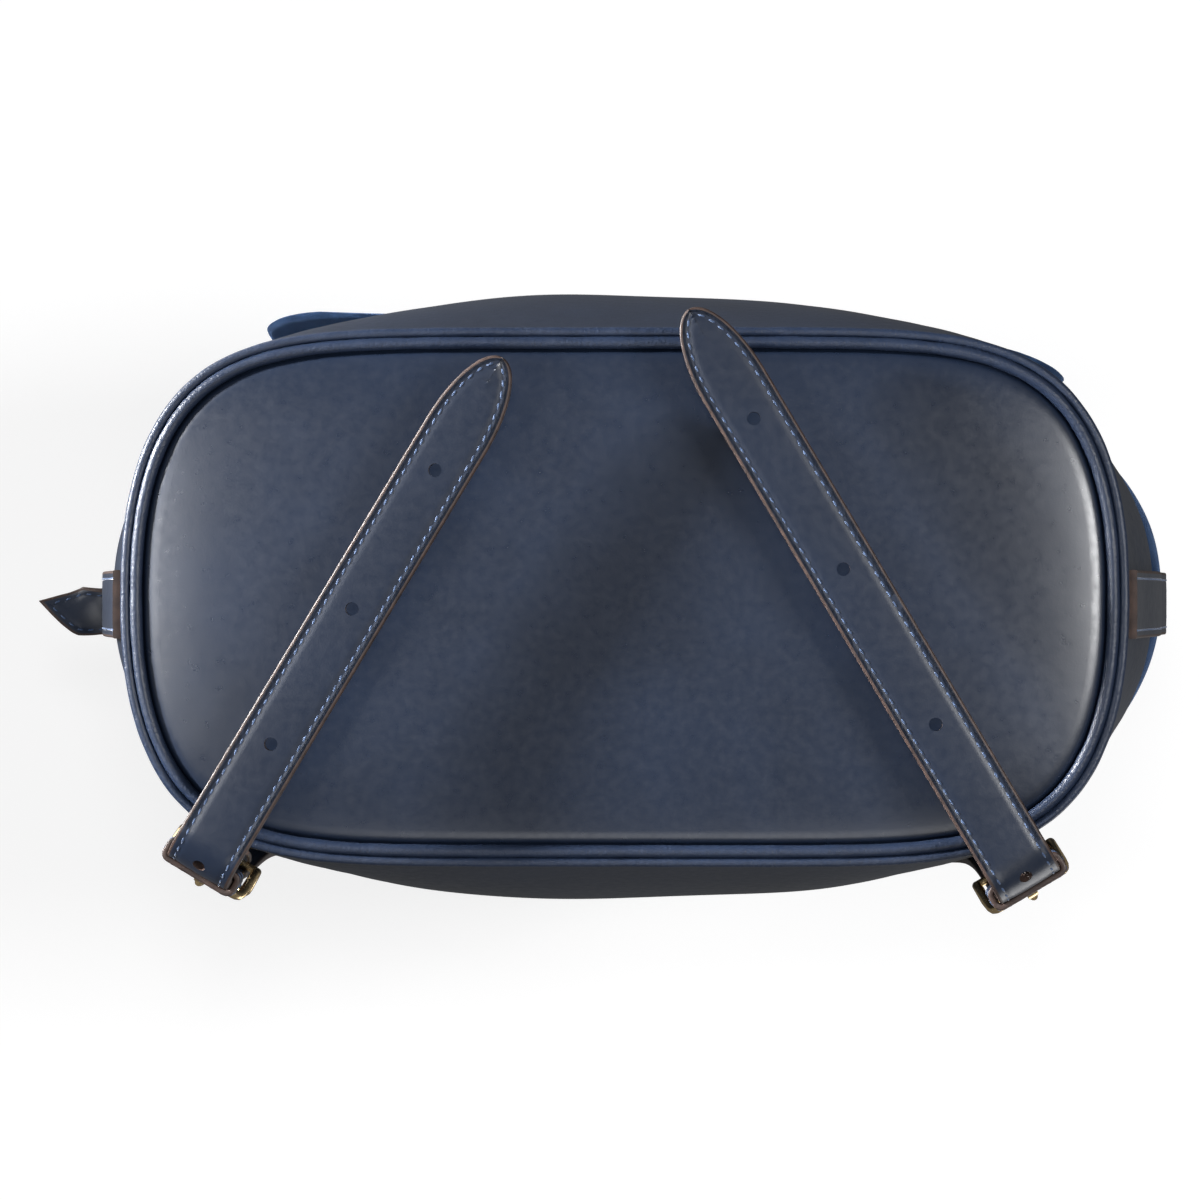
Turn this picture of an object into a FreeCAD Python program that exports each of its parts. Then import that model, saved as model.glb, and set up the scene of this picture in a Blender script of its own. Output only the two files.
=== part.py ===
# Backpack-style bucket bag: leather shell, suede collar and flap, two buckled shoulder straps.
# Upright, +Z up, front towards -Y, back (shoulder straps) towards +Y. Millimetres.
import FreeCAD, Part
import math, os
from FreeCAD import Vector as V

os.makedirs("parts", exist_ok=True)

# ---------------------------------------------------------------- driving dimensions
DX, DY = 8.974, -1.158            # shift that puts the origin under the middle of the bounding box
T = 3.2                       # two-ply strap thickness
SW = 19.0                     # strap width
HW = SW / 2
HOLE_R = 1.85                 # strap hole
LEATHER = 1.8                 # wall leather
Z_WALL = 20.0                 # bottom edge of the walls
Z_LEATHER_TOP = 175.0
Z_RIM = 300.0
GAP = 0.3
COLLAR_OUT = 1.8
# body outline (z, half width, half depth, exponent x, exponent y)
SECT = [(20.0, 138.8, 74.0, 6.2, 2.35), (50.0, 143.0, 82.3, 3.6, 2.3), (80.0, 148.5, 87.0, 2.7, 2.2),
        (115.0, 154.0, 86.5, 2.5, 2.2), (160.0, 158.0, 83.5, 2.4, 2.2), (210.0, 160.0, 80.0, 2.35, 2.2),
        (260.0, 157.0, 75.5, 2.35, 2.2), (303.0, 150.0, 70.0, 2.35, 2.2)]
# shoulder strap ends: angle of the strap's face from +Y, offset along the strap's width, length under the base
SIDES = {"right": dict(s=1, phi=30.7, w=55.6, length=181.7, holes=(34.7, 82.3, 131.3, 176.0)),
         "left": dict(s=-1, phi=31.0, w=61.4, length=162.8, holes=(35.8, 79.8, 122.8, 159.0))}
N_STRAP = 123.6               # strap centre line from the Z axis, along the strap's face normal
Z_BUCKLE = 48.0
CHEEK, ROD = 11.9, 2.85         # buckle: cheeks from the strap's middle, outer rods above the strap's face
FLAP_X0, FLAP_X1, FLAP_Z0, FLAP_OFF, FLAP_T = -107.0, 126.0, 150.0, 2.8, 2.6
FLARE_LEFT, FLARE_RIGHT = 15.0, 9.0     # how far the flap's lower corners stand off the body
Y_FLAP_HINGE, Z_FLAP_HINGE = 66.0, 308.0
HANDLE_Y, HANDLE_Z, HANDLE_R, HANDLE_HALF = 88.4, 262.0, 4.2, 34.0
TAB_Z = 184.0


def interp(z):
    if z <= SECT[0][0]:
        i = 0
    else:
        i = len(SECT) - 2
        for k in range(len(SECT) - 1):
            if z <= SECT[k + 1][0]:
                i = k
                break
    z0, z1 = SECT[i][0], SECT[i + 1][0]
    u = (z - z0) / (z1 - z0)
    out = []
    for c in range(1, 5):
        v0, v1 = SECT[i][c], SECT[i + 1][c]
        m0 = (v1 - (SECT[i - 1][c] if i else v0)) / (z1 - (SECT[i - 1][0] if i else z0)) * (z1 - z0)
        m1 = ((SECT[i + 2][c] if i + 2 < len(SECT) else v1) - v0) / ((SECT[i + 2][0] if i + 2 < len(SECT) else z1) - z0) * (z1 - z0)
        out.append(v0 * (1 + 2 * u) * (1 - u) ** 2 + m0 * u * (1 - u) ** 2 + v1 * u * u * (3 - 2 * u) - m1 * u * u * (1 - u))
    return out


def outline(z, off=0.0, n=40):
    a, b, p, q = interp(z)
    fine = []
    for k in range(1600):
        t = 2 * math.pi * k / 1600
        c, s = math.cos(t), math.sin(t)
        fine.append((a * math.copysign(abs(c) ** (2 / p), c), b * math.copysign(abs(s) ** (2 / q), s)))
    m = len(fine)
    # offset along the normal
    pts = []
    for k in range(m):
        x0, y0 = fine[k - 3]
        x1, y1 = fine[(k + 3) % m]
        d = math.hypot(x1 - x0, y1 - y0)
        pts.append((fine[k][0] + off * (y1 - y0) / d, fine[k][1] - off * (x1 - x0) / d))
    seg = [0.0]
    for k in range(m):
        x0, y0 = pts[k]
        x1, y1 = pts[(k + 1) % m]
        seg.append(seg[-1] + math.hypot(x1 - x0, y1 - y0))
    res, j = [], 0
    for i in range(n):
        target = seg[-1] * i / n
        while seg[j + 1] < target:
            j += 1
        u = (target - seg[j]) / max(1e-9, seg[j + 1] - seg[j])
        x0, y0 = pts[j]
        x1, y1 = pts[(j + 1) % m]
        res.append((x0 + (x1 - x0) * u, y0 + (y1 - y0) * u))
    return res


def outline_wire(z, off, zz=None):
    bs = Part.BSplineCurve()
    bs.interpolate([V(x, y, z if zz is None else zz) for x, y in outline(z, off)], PeriodicFlag=True)
    return Part.Wire([bs.toShape()])


def levels(z0, z1, step=24.0):
    k = max(2, int(math.ceil((z1 - z0) / step)) + 1)
    return [z0 + (z1 - z0) * i / (k - 1) for i in range(k)]


def tub(z0, z1, off):
    f = off if callable(off) else (lambda z: off)
    return Part.makeLoft([outline_wire(z, f(z)) for z in levels(z0, z1)], True, False)


def ring(z0, z1, o_out, o_in):
    f = o_in if callable(o_in) else (lambda z: o_in)
    inner = Part.makeLoft([outline_wire(z, f(z)) for z in [z0 - 3] + levels(z0, z1) + [z1 + 3]], True, False)
    return tub(z0, z1, o_out).cut(inner)


def box(x0, x1, y0, y1, z0, z1):
    return Part.makeBox(x1 - x0, y1 - y0, z1 - z0, V(x0, y0, z0))


def cyl(r, a, b):
    a, b = V(*a), V(*b)
    return Part.makeCylinder(r, (b - a).Length, a, b - a)


def ruled(rects):
    return Part.makeLoft([Part.makePolygon(r + [r[0]]) for r in rects], True, True)


def wall_y(x, z, off=0.0):
    a, b, p, q = interp(z)
    return (b + off) * max(0.0, 1 - (abs(x) / (a + off)) ** p) ** (1 / q)


def wall_n(phi, w0, w1, z):
    """Furthest reach of the wall along the strap's face normal, between two offsets."""
    sp, cp = math.sin(math.radians(phi)), math.cos(math.radians(phi))
    return max([x * sp + y * cp for x, y in outline(z, 0, 400) if w0 <= x * cp - y * sp <= w1 and x * sp + y * cp > 0] or [0])


def turned(shape, side):
    d = SIDES[side]
    s = shape.copy()
    s.rotate(V(0, 0, 0), V(0, 0, 1), -d["s"] * d["phi"])
    return s


count = 0


def save(name, shape):
    global count
    shape = shape.copy()
    shape.translate(V(DX, DY, 0))
    if not shape.isValid():
        print("not valid:", name)
    shape.exportStep("parts/" + name + ".step")
    count += 1
    b = shape.BoundBox
    print("%-24s solids %d vol %.1f cm3  x %.1f..%.1f y %.1f..%.1f z %.1f..%.1f" % (
        name, len(shape.Solids), shape.Volume / 1000, b.XMin, b.XMax, b.YMin, b.YMax, b.ZMin, b.ZMax))


# ---------------------------------------------------------------- base
base = Part.makeLoft([outline_wire(20, -3.9, 21.6), outline_wire(20, -3.9, 19.6)], True, True)
dome = Part.makeLoft([outline_wire(20, -3.9, 19.6), outline_wire(20, -6.5, 18.4), outline_wire(20, -14, 17.7),
                      outline_wire(20, -32, 17.2), outline_wire(20, -55, 17.0)], True, True)
save("base_panel", base.fuse(dome).removeSplitter())
save("base_board", Part.makeLoft([outline_wire(20, -3.6, 21.8), outline_wire(20, -3.6, 24.3)], True, True))

bead_out = Part.makeLoft([outline_wire(20, o, z) for z, o in ((19.9, 0.35), (19.2, 0.3), (18.6, 0.0), (18.1, -0.55), (17.8, -1.4))], True, True)
bead_in = Part.makeLoft([outline_wire(20, o, z) for z, o in ((20.2, -3.5), (19.2, -3.5), (18.6, -3.2), (18.1, -2.65), (17.75, -1.8))], True, True)
save("base_piping", bead_out.cut(bead_in))

# ---------------------------------------------------------------- walls
shell = ring(Z_WALL, Z_LEATHER_TOP, 0.0, -LEATHER)
YC = 44.0
slot = box(-200, -100, -4.6, 12.1, TAB_Z - 0.6, TAB_Z + 2.6)
save("front_panel", shell.common(box(-200, 200, -200, -YC, 0, 400)))
save("back_panel", shell.common(box(-200, 200, YC, 200, 0, 400)))
save("gusset_right", shell.common(box(0, 200, -YC + 0.15, YC - 0.15, 0, 400)))
save("gusset_left", shell.common(box(-200, 0, -YC + 0.15, YC - 0.15, 0, 400)))
collar = ring(Z_LEATHER_TOP + 0.2, Z_RIM, COLLAR_OUT, -0.4)
save("suede_collar", collar.cut(slot))
save("mouth_binding", ring(Z_RIM + 0.2, Z_RIM + 3.2, COLLAR_OUT, -3.2))
lining = ring(24.6, Z_RIM, -LEATHER - 1.0, -LEATHER - 2.0).cut(slot)
floor = Part.makeLoft([outline_wire(24.6, -3.0, 24.6), outline_wire(24.6, -3.0, 25.5)], True, True)
save("lining", lining.fuse(floor))
save("inner_pocket", ring(60, 170, -4.4, -5.4).common(box(-80, 80, 0, 200, 0, 400)))


def band_in(z):
    return 0.3 + 1.8 * min(1.0, max(0.0, (z - 150.0) / 22.0))


def band_out(z):
    return band_in(z) + 2.2


band = ring(22.0, 180.0, band_out, band_in)
save("side_band_right", band.common(box(0, 200, 2 - HW, 2 + HW, 0, 400)))
save("side_band_left", band.common(box(-200, 0, 2 - HW, 2 + HW, 0, 400)))

# ---------------------------------------------------------------- cinch strap with its pointed end
tip_x, tab_in = -181.5, -122.0
y0, y1 = -3.8, 11.3
ym = (y0 + y1) / 2
tab = Part.Face(Part.makePolygon([V(tab_in, y0, TAB_Z), V(tip_x + 11, y0, TAB_Z), V(tip_x, ym, TAB_Z), V(tip_x + 11, y1, TAB_Z),
                                  V(tab_in, y1, TAB_Z), V(tab_in, y0, TAB_Z)])).extrude(V(0, 0, 2.0))
save("cinch_strap", tab)
gx0, gx1 = -151.0, -137.0
guide = box(gx0, gx1, y0 - 2.0, y1 + 2.0, TAB_Z - 2.0, TAB_Z + 4.0).cut(box(gx0 - 1, gx1 + 1, y0 - 0.5, y1 + 0.5, TAB_Z - 0.5, TAB_Z + 2.5))
save("cinch_guide", guide.cut(box(-200, -140, -50, 50, 0, 400).cut(tub(150, 220, -3.4))))

# ---------------------------------------------------------------- yoke, handle
save("back_yoke", ring(222, 292, COLLAR_OUT + 2.3, COLLAR_OUT + 0.3).common(box(-46, 46, 0, 200, 0, 400)))
posts = []
for sx in (-1, 1):
    yw = wall_y(HANDLE_HALF, HANDLE_Z, 0) + COLLAR_OUT + 2.0
    for c in (HANDLE_HALF - 7.2, HANDLE_HALF + 7.2):
        ear = box(sx * c - 1.2, sx * c + 1.2, yw - 3, HANDLE_Y, HANDLE_Z - 3.4, HANDLE_Z + 3.4).fuse(
            cyl(3.4, (sx * c - 1.2, HANDLE_Y, HANDLE_Z), (sx * c + 1.2, HANDLE_Y, HANDLE_Z)))
        posts.append((sx, ear))
yoke_out = tub(215, 300, COLLAR_OUT + 2.5)
handle_posts = []
for sx in (-1, 1):
    s = cyl(1.5, (sx * (HANDLE_HALF - 7.2), HANDLE_Y, HANDLE_Z), (sx * (HANDLE_HALF + 7.2), HANDLE_Y, HANDLE_Z))
    for k, ear in posts:
        if k == sx:
            s = s.fuse(ear)
    yf = wall_y(HANDLE_HALF, HANDLE_Z, COLLAR_OUT + 2.3)
    plate = box(sx * HANDLE_HALF - 8.4, sx * HANDLE_HALF + 8.4, yf - 4, yf + 3.2, HANDLE_Z - 3.4, HANDLE_Z + 3.4)
    handle_posts.append(s.fuse(plate).cut(yoke_out).removeSplitter())
save("handle_posts", Part.makeCompound(handle_posts))

zl = 232.0
arc = Part.makeTorus(HANDLE_HALF, HANDLE_R, V(0, HANDLE_Y, zl), V(0, 1, 0)).common(box(-60, 60, 60, 120, zl - 60, zl))
handle = arc
for sx in (-1, 1):
    x = sx * HANDLE_HALF
    handle = handle.fuse(cyl(HANDLE_R, (x, HANDLE_Y, zl), (x, HANDLE_Y, HANDLE_Z - 1)))
    handle = handle.fuse(cyl(4.2, (x - 5.6, HANDLE_Y, HANDLE_Z), (x + 5.6, HANDLE_Y, HANDLE_Z)))
for sx in (-1, 1):
    x = sx * HANDLE_HALF
    handle = handle.cut(cyl(1.8, (x - 9, HANDLE_Y, HANDLE_Z), (x + 9, HANDLE_Y, HANDLE_Z)))
    handle = handle.cut(box(x + 5.6, x + 9, 80, 120, zl + 20, 300)).cut(box(x - 9, x - 5.6, 80, 120, zl + 20, 300))
save("top_handle", handle)

# ---------------------------------------------------------------- flap


def flare_at(x, z):
    k = min(1.0, max(0.0, (300.0 - z) / 150.0)) ** 2.2
    if x < -45.0:
        return FLARE_LEFT * k * min(1.4, ((-45.0 - x) / 60.0) ** 2)
    if x > 70.0:
        return FLARE_RIGHT * k * min(1.4, ((x - 70.0) / 55.0) ** 2)
    return 0.0


def flared_wire(z, off):
    p0 = outline(z, off)
    p1 = outline(z, off + 10.0, 640)
    pts = []
    for x, y in p0:
        g = flare_at(x, z) if y < 0 else 0.0
        if g > 0:
            x1, y1 = min(p1, key=lambda q: (q[0] - x) ** 2 + (q[1] - y) ** 2)
            d = math.hypot(x1 - x, y1 - y)
            x, y = x + (x1 - x) * g / d, y + (y1 - y) * g / d
        elif y >= 0 and abs(x) > 60:
            g = flare_at(x, z) * max(0.0, 1 - y / 40.0)
            x += math.copysign(g, x)
        pts.append(V(x, y, z))
    bs = Part.BSplineCurve()
    bs.interpolate(pts, PeriodicFlag=True)
    return Part.Wire([bs.toShape()])


def flared(z0, z1, off):
    return Part.makeLoft([flared_wire(z, off) for z in levels(z0, z1, 16.0)], True, False)


out_f = flared(FLAP_Z0 - 5, 303, FLAP_OFF + FLAP_T)
in_f = flared(FLAP_Z0 - 8, 303, FLAP_OFF)
over_o = Part.makeLoft([outline_wire(303, FLAP_OFF + FLAP_T, 303), outline_wire(303, FLAP_OFF + FLAP_T - 1.0, 308), outline_wire(303, FLAP_OFF + FLAP_T - 4, 310)], True, True)
over_i = Part.makeLoft([outline_wire(303, FLAP_OFF, 302), outline_wire(303, FLAP_OFF, 304.5), outline_wire(303, FLAP_OFF - 2, 307)], True, True)
drape = out_f.cut(in_f).common(box(FLAP_X0, FLAP_X1, -200, -8, FLAP_Z0, 303))
lid = over_o.cut(over_i).common(box(FLAP_X0, FLAP_X1, -200, Y_FLAP_HINGE - 6.5, 303, 320))
corner = 20.0
flap = drape.fuse(lid)
for sx, xe in ((-1, FLAP_X0), (1, FLAP_X1)):
    xc = xe - sx * corner
    c = box(min(xc, xe + sx), max(xc, xe + sx), -200, 0, FLAP_Z0 - 1, FLAP_Z0 + corner).cut(
        cyl(corner, (xc, -200, FLAP_Z0 + corner), (xc, 10, FLAP_Z0 + corner)))
    flap = flap.cut(c)
save("suede_flap", flap)
# hinge strip of the flap: leather sewn along the back edge
roll = cyl(1.6, (-70, Y_FLAP_HINGE, Z_FLAP_HINGE), (70, Y_FLAP_HINGE, Z_FLAP_HINGE))
leaf = box(-70, 70, Y_FLAP_HINGE - 16, Y_FLAP_HINGE, Z_FLAP_HINGE + 2.3, Z_FLAP_HINGE + 3.9)
leaf = leaf.fuse(box(-70, 70, Y_FLAP_HINGE - 1.6, Y_FLAP_HINGE, Z_FLAP_HINGE - 0.2, Z_FLAP_HINGE + 3.9))
save("flap_hinge_strip", roll.fuse(leaf).removeSplitter())
# the strip's other half is sewn to the back of the collar
ang = ring(282, 305, COLLAR_OUT + 2.6, COLLAR_OUT + 0.3).common(box(-20, 20, 0, 200, 292.3, 305))
ang = ang.fuse(box(-20, 20, Y_FLAP_HINGE + 1.95, Y_FLAP_HINGE + 8.6, 303.5, 307.0))
save("flap_anchor", ang)
mz = 165.0
lean = math.atan(-(wall_y(0, mz + 2) - wall_y(0, mz - 2)) / 4.0)


def front(o):
    return (0, -wall_y(0, mz) - o * math.cos(lean), mz + o * math.sin(lean))


save("flap_magnet", cyl(8, front(1.55), front(2.65)))
save("magnet_socket", cyl(8, front(0.0), front(1.15)).cut(tub(130, 200, 0.1)))
save("flap_badge_plate", cyl(8, front(FLAP_OFF + FLAP_T - 0.4), front(FLAP_OFF + FLAP_T + 1.2)).cut(tub(130, 200, FLAP_OFF + FLAP_T + 0.1)))

# ---------------------------------------------------------------- shoulder straps, buckles, ends
rivets = []
for side, d in SIDES.items():
    s, phi, w, L = d["s"], d["phi"], d["w"], d["length"]
    wc = s * w                                      # along local x after turning
    sp, cp = math.sin(math.radians(phi)), math.cos(math.radians(phi))
    nb, wb = V(s * sp, cp, 0), V(cp, -s * sp, 0)
    foot = nb * N_STRAP + wb * wc
    # strap end lying under the base: local frame x = width, y = towards the fold, z up
    y_ax, y_tip = N_STRAP, N_STRAP - L
    ys = y_tip + 24.0
    e = [Part.LineSegment(V(wc - HW, y_ax, 0), V(wc - HW, ys, 0)).toShape(),
         Part.Arc(V(wc - HW, ys, 0), V(wc - HW * 0.69, y_tip + 10.5, 0), V(wc, y_tip, 0)).toShape(),
         Part.Arc(V(wc, y_tip, 0), V(wc + HW * 0.69, y_tip + 10.5, 0), V(wc + HW, ys, 0)).toShape(),
         Part.LineSegment(V(wc + HW, ys, 0), V(wc + HW, y_ax, 0)).toShape(),
         Part.LineSegment(V(wc + HW, y_ax, 0), V(wc - HW, y_ax, 0)).toShape()]
    tail = Part.Face(Part.Wire(e)).extrude(V(0, 0, T))
    tail = tail.fuse(cyl(T / 2, (wc - HW, y_ax, T / 2), (wc + HW, y_ax, T / 2)))
    for h in d["holes"]:
        tail = tail.cut(cyl(HOLE_R, (wc, y_tip + h, -1), (wc, y_tip + h, T + 1)))
    save("strap_end_" + side, turned(tail, side))
    # fixed run: up the back corner, then over the back to the collar
    stations = []
    for z in (T + 0.3, 30, 55, 78):
        stations.append((foot.x, foot.y, z, nb))
    x_top, z_top = s * 58.0, 284.0
    x_lo = foot.x - s * 2.0
    for z in (110, 135, 160, 185, 210, 235, 260, z_top):
        u = (z - 90.0) / (z_top - 90.0)
        x = x_lo + (x_top - x_lo) * (u ** 1.35)
        off = 4.2 + 2.2 * min(1.0, max(0.0, (z - 120.0) / 40.0))
        y = wall_y(x, z)
        dy = (wall_y(abs(x) + 1, z) - wall_y(abs(x) - 1, z)) / 2.0
        n = V(-dy * s, 1, 0).normalize()
        stations.append((x + n.x * off, y + n.y * off, z, n))
    pts = [V(*t[:3]) for t in stations]
    rects = []
    for i, (x, y, z, n) in enumerate(stations):
        if i < 3:
            t = V(0, 0, 1)
        else:
            t = (pts[min(i + 1, len(pts) - 1)] - pts[i - 1]).normalize()
        n2 = (n - t * n.dot(t)).normalize()
        wv = t.cross(n2) * -1.0
        c = V(x, y, z)
        rects.append([c + wv * HW + n2 * (T / 2), c - wv * HW + n2 * (T / 2), c - wv * HW - n2 * (T / 2), c + wv * HW - n2 * (T / 2)])
    strap = ruled(rects)
    zh = Z_BUCKLE + 1.5
    hole = turned(cyl(HOLE_R, (wc, N_STRAP - 5, zh), (wc, N_STRAP + 5, zh)), side)
    save("shoulder_strap_" + side, strap.cut(hole))
    c, n = pts[-1], stations[-1][3]
    t = (pts[-1] - pts[-2]).normalize()
    n2 = (n - t * n.dot(t)).normalize()
    c1 = c - t * 9.0
    rivets.append(Part.makeCylinder(4.0, 1.6, c1 + n2 * (T / 2 + 0.05), n2))
    # buckle frame: two cheeks, an inner bar and two outer rods
    no, ni, zb = N_STRAP + T / 2, N_STRAP - T / 2, Z_BUCKLE
    fr = None
    for sx in (-1, 1):
        ch = box(wc + sx * CHEEK - 1.2, wc + sx * CHEEK + 1.2, ni - 3.0, no + ROD + 1.4, zb - 11.5, zb + 11.5)
        ch = ch.makeFillet(0.8, ch.Edges)
        fr = ch if fr is None else fr.fuse(ch)
    fr = fr.fuse(cyl(1.2, (wc - CHEEK, ni - 1.7, zb), (wc + CHEEK, ni - 1.7, zb)))
    for z in (zb - 9.6, zb + 9.6):
        fr = fr.fuse(cyl(1.2, (wc - CHEEK, no + ROD, z), (wc + CHEEK, no + ROD, z)))
    save("buckle_frame_" + side, turned(fr, side))
    # chape: leather tongue from the base seam up to the bar
    rr = []
    for z in (21.0, 24.0, 27.0, 30.0, 33.0, 36.0, 38.0, 40.0, 42.0, 44.5, zb - 1.0):
        nn = wall_n(phi, w - HW - 1, w + HW + 1, z) + 0.6
        if z >= 40:
            nn = max(nn, ni - 1.7 - 1.5 - 1.3)
        rr.append([V(wc - HW + 0.4, nn, z), V(wc + HW - 0.4, nn, z), V(wc + HW - 0.4, nn + 1.3, z), V(wc - HW + 0.4, nn + 1.3, z)])
        if z == zb - 1.0:
            print("chape", side, "inner n", round(nn, 2), "bar back", round(ni - 2.9, 2))
    ch = ruled(rr)
    cx = cyl(2.8, (wc - HW + 0.4, ni - 1.7, zb), (wc + HW - 0.4, ni - 1.7, zb)).cut(
        cyl(1.3, (wc - HW, ni - 1.7, zb), (wc + HW, ni - 1.7, zb))).common(box(wc - 20, wc + 20, 0, ni - 0.3, zb - 5, zb + 5))
    save("chape_" + side, turned(ch.fuse(cx), side))
    # keeper loop around the strap just above the fold
    kp = box(wc - HW - 1.9, wc + HW + 1.9, ni - 1.9, no + 1.9, 14.0, 23.0).cut(
        box(wc - HW - 0.4, wc + HW + 0.4, ni - 0.4, no + 0.4, 10.0, 30.0))
    kp = kp.makeFillet(0.7, [ed for ed in kp.Edges if ed.Length > 8.9 and ed.Length < 9.1])
    save("keeper_" + side, turned(kp, side))
    # prong on the lower rod
    zp, yp = zb - 9.6, no + ROD
    pr = cyl(2.5, (wc - 1.5, yp, zp), (wc + 1.5, yp, zp))
    pr = pr.fuse(box(wc - 1.3, wc + 1.3, yp + 1.6, yp + 3.1, zp, zb + 12.0))
    pr = pr.cut(cyl(1.5, (wc - 3, yp, zp), (wc + 3, yp, zp)))
    pr = pr.fuse(cyl(0.95, (wc, no - 1.2, zh), (wc, yp + 2.4, zh)))
    save("buckle_prong_" + side, turned(pr, side))
    d["axis"] = (wb.x, wb.y, 0)
    print(side, "tail hinge", [round(v, 2) for v in (foot.x + DX, foot.y + DY, T / 2)], "axis", [round(v, 5) for v in (cp, -s * sp, 0)])
    pp = nb * yp + wb * wc
    print(side, "prong hinge", [round(v, 2) for v in (pp.x + DX, pp.y + DY, zp)])
save("rivets", Part.makeCompound(rivets))
print("flap hinge", Y_FLAP_HINGE + DY, Z_FLAP_HINGE, "handle", HANDLE_Y + DY, HANDLE_Z)
print("nodes", count)
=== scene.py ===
import bpy, bmesh, math, random
import numpy as np
from mathutils import Vector, Matrix


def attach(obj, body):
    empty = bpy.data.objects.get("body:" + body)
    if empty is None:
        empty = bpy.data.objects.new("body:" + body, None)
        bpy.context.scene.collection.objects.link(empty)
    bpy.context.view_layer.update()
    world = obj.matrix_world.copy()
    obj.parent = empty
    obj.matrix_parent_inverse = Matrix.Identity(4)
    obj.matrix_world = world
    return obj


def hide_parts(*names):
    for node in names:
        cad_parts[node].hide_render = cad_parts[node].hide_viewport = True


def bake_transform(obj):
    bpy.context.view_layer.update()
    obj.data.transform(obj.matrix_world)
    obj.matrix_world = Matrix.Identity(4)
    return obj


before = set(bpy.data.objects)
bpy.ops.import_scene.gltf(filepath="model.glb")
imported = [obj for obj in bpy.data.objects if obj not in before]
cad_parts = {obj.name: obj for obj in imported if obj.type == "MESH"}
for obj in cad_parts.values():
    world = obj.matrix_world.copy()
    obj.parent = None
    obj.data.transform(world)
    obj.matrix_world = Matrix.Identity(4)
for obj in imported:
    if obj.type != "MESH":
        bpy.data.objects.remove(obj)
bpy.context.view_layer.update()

random.seed(7)
rng = np.random.default_rng(7)
MM = 0.001
DX, DY = 8.974, -1.158
T, SW = 3.2, 19.0
HW = SW / 2
SECT = [(20.0, 138.8, 74.0, 6.2, 2.35), (50.0, 143.0, 82.3, 3.6, 2.3), (80.0, 148.5, 87.0, 2.7, 2.2),
        (115.0, 154.0, 86.5, 2.5, 2.2), (160.0, 158.0, 83.5, 2.4, 2.2), (210.0, 160.0, 80.0, 2.35, 2.2),
        (260.0, 157.0, 75.5, 2.35, 2.2), (303.0, 150.0, 70.0, 2.35, 2.2)]
SIDES = {"right": dict(s=1, phi=30.7, w=55.6, length=181.7, holes=(34.7, 82.3, 131.3, 176.0)),
         "left": dict(s=-1, phi=31.0, w=61.4, length=162.8, holes=(35.8, 79.8, 122.8, 159.0))}
N_STRAP, Z_BUCKLE = 123.6, 48.0


# ------------------------------------------------------------------ shape of the body
def interp(z):
    i = len(SECT) - 2
    for k in range(len(SECT) - 1):
        if z <= SECT[k + 1][0]:
            i = k
            break
    z0, z1 = SECT[i][0], SECT[i + 1][0]
    u = (z - z0) / (z1 - z0)
    out = []
    for c in range(1, 5):
        v0, v1 = SECT[i][c], SECT[i + 1][c]
        m0 = (v1 - (SECT[i - 1][c] if i else v0)) / (z1 - (SECT[i - 1][0] if i else z0)) * (z1 - z0)
        m1 = ((SECT[i + 2][c] if i + 2 < len(SECT) else v1) - v0) / ((SECT[i + 2][0] if i + 2 < len(SECT) else z1) - z0) * (z1 - z0)
        out.append(v0 * (1 + 2 * u) * (1 - u) ** 2 + m0 * u * (1 - u) ** 2 + v1 * u * u * (3 - 2 * u) - m1 * u * u * (1 - u))
    return out


_cache = {}


def section(z):
    """Fine outline at a height: cumulative share of length, points and outward normals."""
    key = round(z, 3)
    if key not in _cache:
        a, b, p, q = interp(z)
        t = np.linspace(0, 2 * math.pi, 2401)[:-1]
        c, s = np.cos(t), np.sin(t)
        pts = np.stack([a * np.sign(c) * np.abs(c) ** (2 / p), b * np.sign(s) * np.abs(s) ** (2 / q)], 1)
        d = np.roll(pts, -4, 0) - np.roll(pts, 4, 0)
        nrm = np.stack([d[:, 1], -d[:, 0]], 1)
        nrm /= np.linalg.norm(nrm, axis=1)[:, None]
        seg = np.linalg.norm(np.roll(pts, -1, 0) - pts, axis=1)
        cum = np.concatenate([[0], np.cumsum(seg)])
        _cache[key] = (cum / cum[-1], np.vstack([pts, pts[:1]]), np.vstack([nrm, nrm[:1]]), cum[-1])
    return _cache[key]


def on_wall(u, z, off=0.0):
    """Points on the body at shares u of the way round (0 at +X, .25 at the back, .75 at the front)."""
    cum, pts, nrm, _ = section(z)
    u = np.mod(np.asarray(u, float), 1.0)
    x = np.interp(u, cum, pts[:, 0]); y = np.interp(u, cum, pts[:, 1])
    nx = np.interp(u, cum, nrm[:, 0]); ny = np.interp(u, cum, nrm[:, 1])
    l = np.hypot(nx, ny)
    return np.stack([x + off * nx / l, y + off * ny / l, np.full_like(x, z)], -1)


def wall_y(x, z, off=0.0):
    a, b, p, q = interp(z)
    return (b + off) * max(0.0, 1 - (abs(x) / (a + off)) ** p) ** (1 / q)


def wall_x(y, z, off=0.0):
    a, b, p, q = interp(z)
    return (a + off) * max(0.0, 1 - (abs(y) / (b + off)) ** q) ** (1 / p)


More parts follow.
